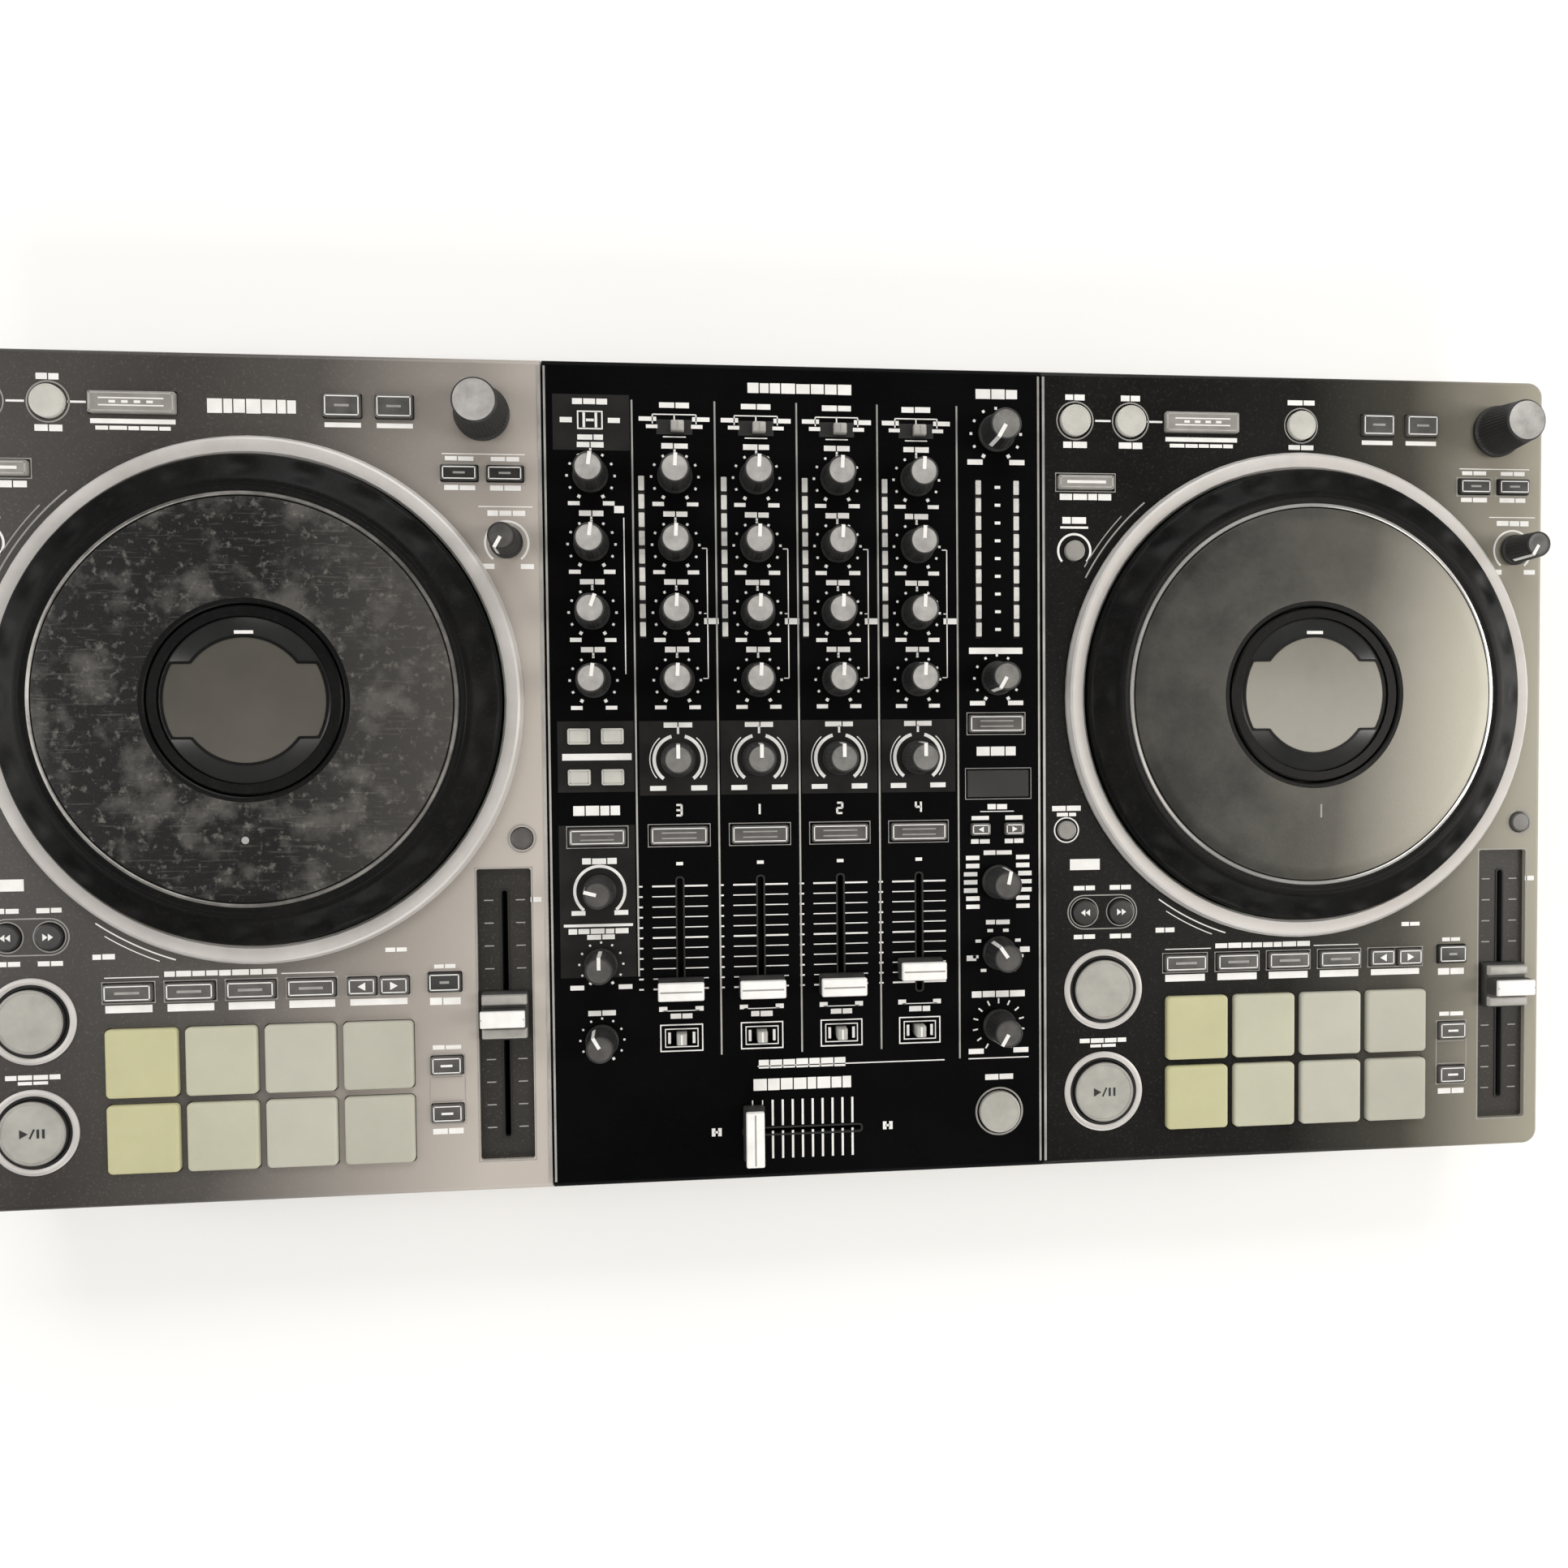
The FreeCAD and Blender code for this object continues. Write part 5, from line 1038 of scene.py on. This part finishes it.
    # marks round the jog ring
    jx, jy = x0 + 122.5, 33.8
    P.arc(jx, jy, 115.4, -62, -40, 0.7, "grey_print", 14)
    P.arc(jx, jy, 118.2, -60, -46, 0.5, "grey_print", 10)
    P.arc(jx, jy, 114.8, 198, 216, 0.6, "white", 14)
    P.arc(jx, jy, 117.4, 201, 213, 0.4, "white", 10)
    P.label(x0 + 58, -73.4, 9.0, 1.9)
    P.label(x0 + 178, -73.4, 9.0, 1.6)
P.obj("panel_ink", "case", "panel_black")
T.obj("panel_trim", "case", "ring_silver")

# slot lips: thin black inserts round the fader slots
L = Mesh()


def slot_lip(cx, cy, w, d, z):
    o, i = rrect(cx, cy, w + 1.4, d + 1.4, 1.6, 4), rrect(cx, cy, w - 0.02, d - 0.02, 1.2, 4)
    k, n = len(L.v), len(o)
    L.v += [(x, y, z + 0.01) for x, y in o] + [(x, y, z + 0.3) for x, y in o] + [(x, y, z + 0.3) for x, y in i] + [(x, y, z - 2.5) for x, y in i]
    mi = L.mi("pit")
    for j in range(n):
        q = (j + 1) % n
        for a in range(3):
            L.f.append([k + a * n + j, k + a * n + q, k + (a + 1) * n + q, k + (a + 1) * n + j]); L.m.append(mi)


for c in COLS[1:5]:
    slot_lip(c, -71.3, 2.6, 53.0, ZT)
slot_lip(0, -159.2, 53.0, 2.6, ZT)
for side, x0 in SIDES:
    slot_lip(x0 + 224.0, -103.2, 2.6, 108.5, ZT - 2.0)
L.obj("slot_lips", "case", "hub_black")

# ------------------------------------------------------------------ floor, light, camera
def quad(name, size, z, mat):
    me = bpy.data.meshes.new(name)
    me.from_pydata([(-size, -size, z), (size, -size, z), (size, size, z), (-size, size, z)], [], [(0, 1, 2, 3)])
    me.materials.append(mat)
    ob = bpy.data.objects.new(name, me)
    bpy.context.scene.collection.objects.link(ob)
    return ob


fm = material("floor_white", (0.93, 0.93, 0.925), (0.95, 0.95, 0.945), rough=(0.8, 0.95), grain=40, bump=0.0, blotch=2.0, spec=0.1)
floor = quad("floor", 6.0, -0.0005, fm)
floor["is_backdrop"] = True

world = bpy.data.worlds.new("studio")
bpy.context.scene.world = world
world.use_nodes = True
bg = world.node_tree.nodes["Background"]
bg.inputs["Color"].default_value = (1.0, 0.995, 0.985, 1)
bg.inputs["Strength"].default_value = 0.14


def area(name, loc, target, sx, sy, power, colour=(1, 1, 1)):
    l = bpy.data.lights.new(name, "AREA")
    l.shape = "RECTANGLE"
    l.size, l.size_y = sx, sy
    l.energy = power
    l.color = colour
    ob = bpy.data.objects.new(name, l)
    bpy.context.scene.collection.objects.link(ob)
    ob.location = loc
    d = Vector(target) - Vector(loc)
    ob.rotation_euler = d.to_track_quat("-Z", "Y").to_euler()
    return ob


area("side_left", (-1.75, 0.1, 1.0), (0, 0, 0), 0.9, 1.5, 15.0, (1, 0.985, 0.965))
area("side_back", (0.0, 1.5, 1.0), (0, 0, 0), 1.8, 0.8, 19.0, (1, 0.99, 0.975))
area("side_front", (0.2, -1.6, 1.0), (0, 0, 0), 1.8, 0.8, 17.0, (1, 0.985, 0.965))
area("side_right", (2.15, 0.1, 1.0), (0, 0, 0), 0.9, 1.5, 24.0, (1, 0.985, 0.965))
area("sheen_left", (-0.44, -0.24, 1.55), (-0.40, -0.24, 0), 0.36, 1.9, 3.6, (1, 0.94, 0.88))
area("sheen_right", (1.47, -0.06, 1.55), (0.6, -0.05, 0), 0.42, 1.35, 9.0, (1, 0.95, 0.86))

CAM_POS = (-0.05293, 0.00961, 0.54395)
CAM_ROT = ((0.995581, 0.012279, -0.093101), (-0.009763, 0.999576, 0.027432), (0.093398, -0.026402, 0.995279))
cam = bpy.data.cameras.new("camera")
cam.sensor_width = 36.0
cam.lens = 36.0 * 1367.47 / 1932.0
cam.clip_start = 0.01
co = bpy.data.objects.new("camera", cam)
bpy.context.scene.collection.objects.link(co)
mw = Matrix.Identity(4)
for i in range(3):
    for j in range(3):
        mw[i][j] = CAM_ROT[i][j]
    mw[i][3] = CAM_POS[i]
co.matrix_world = mw
bpy.context.scene.camera = co
bpy.context.scene.view_settings.view_transform = "Standard"
bpy.context.view_layer.update()

a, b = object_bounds()
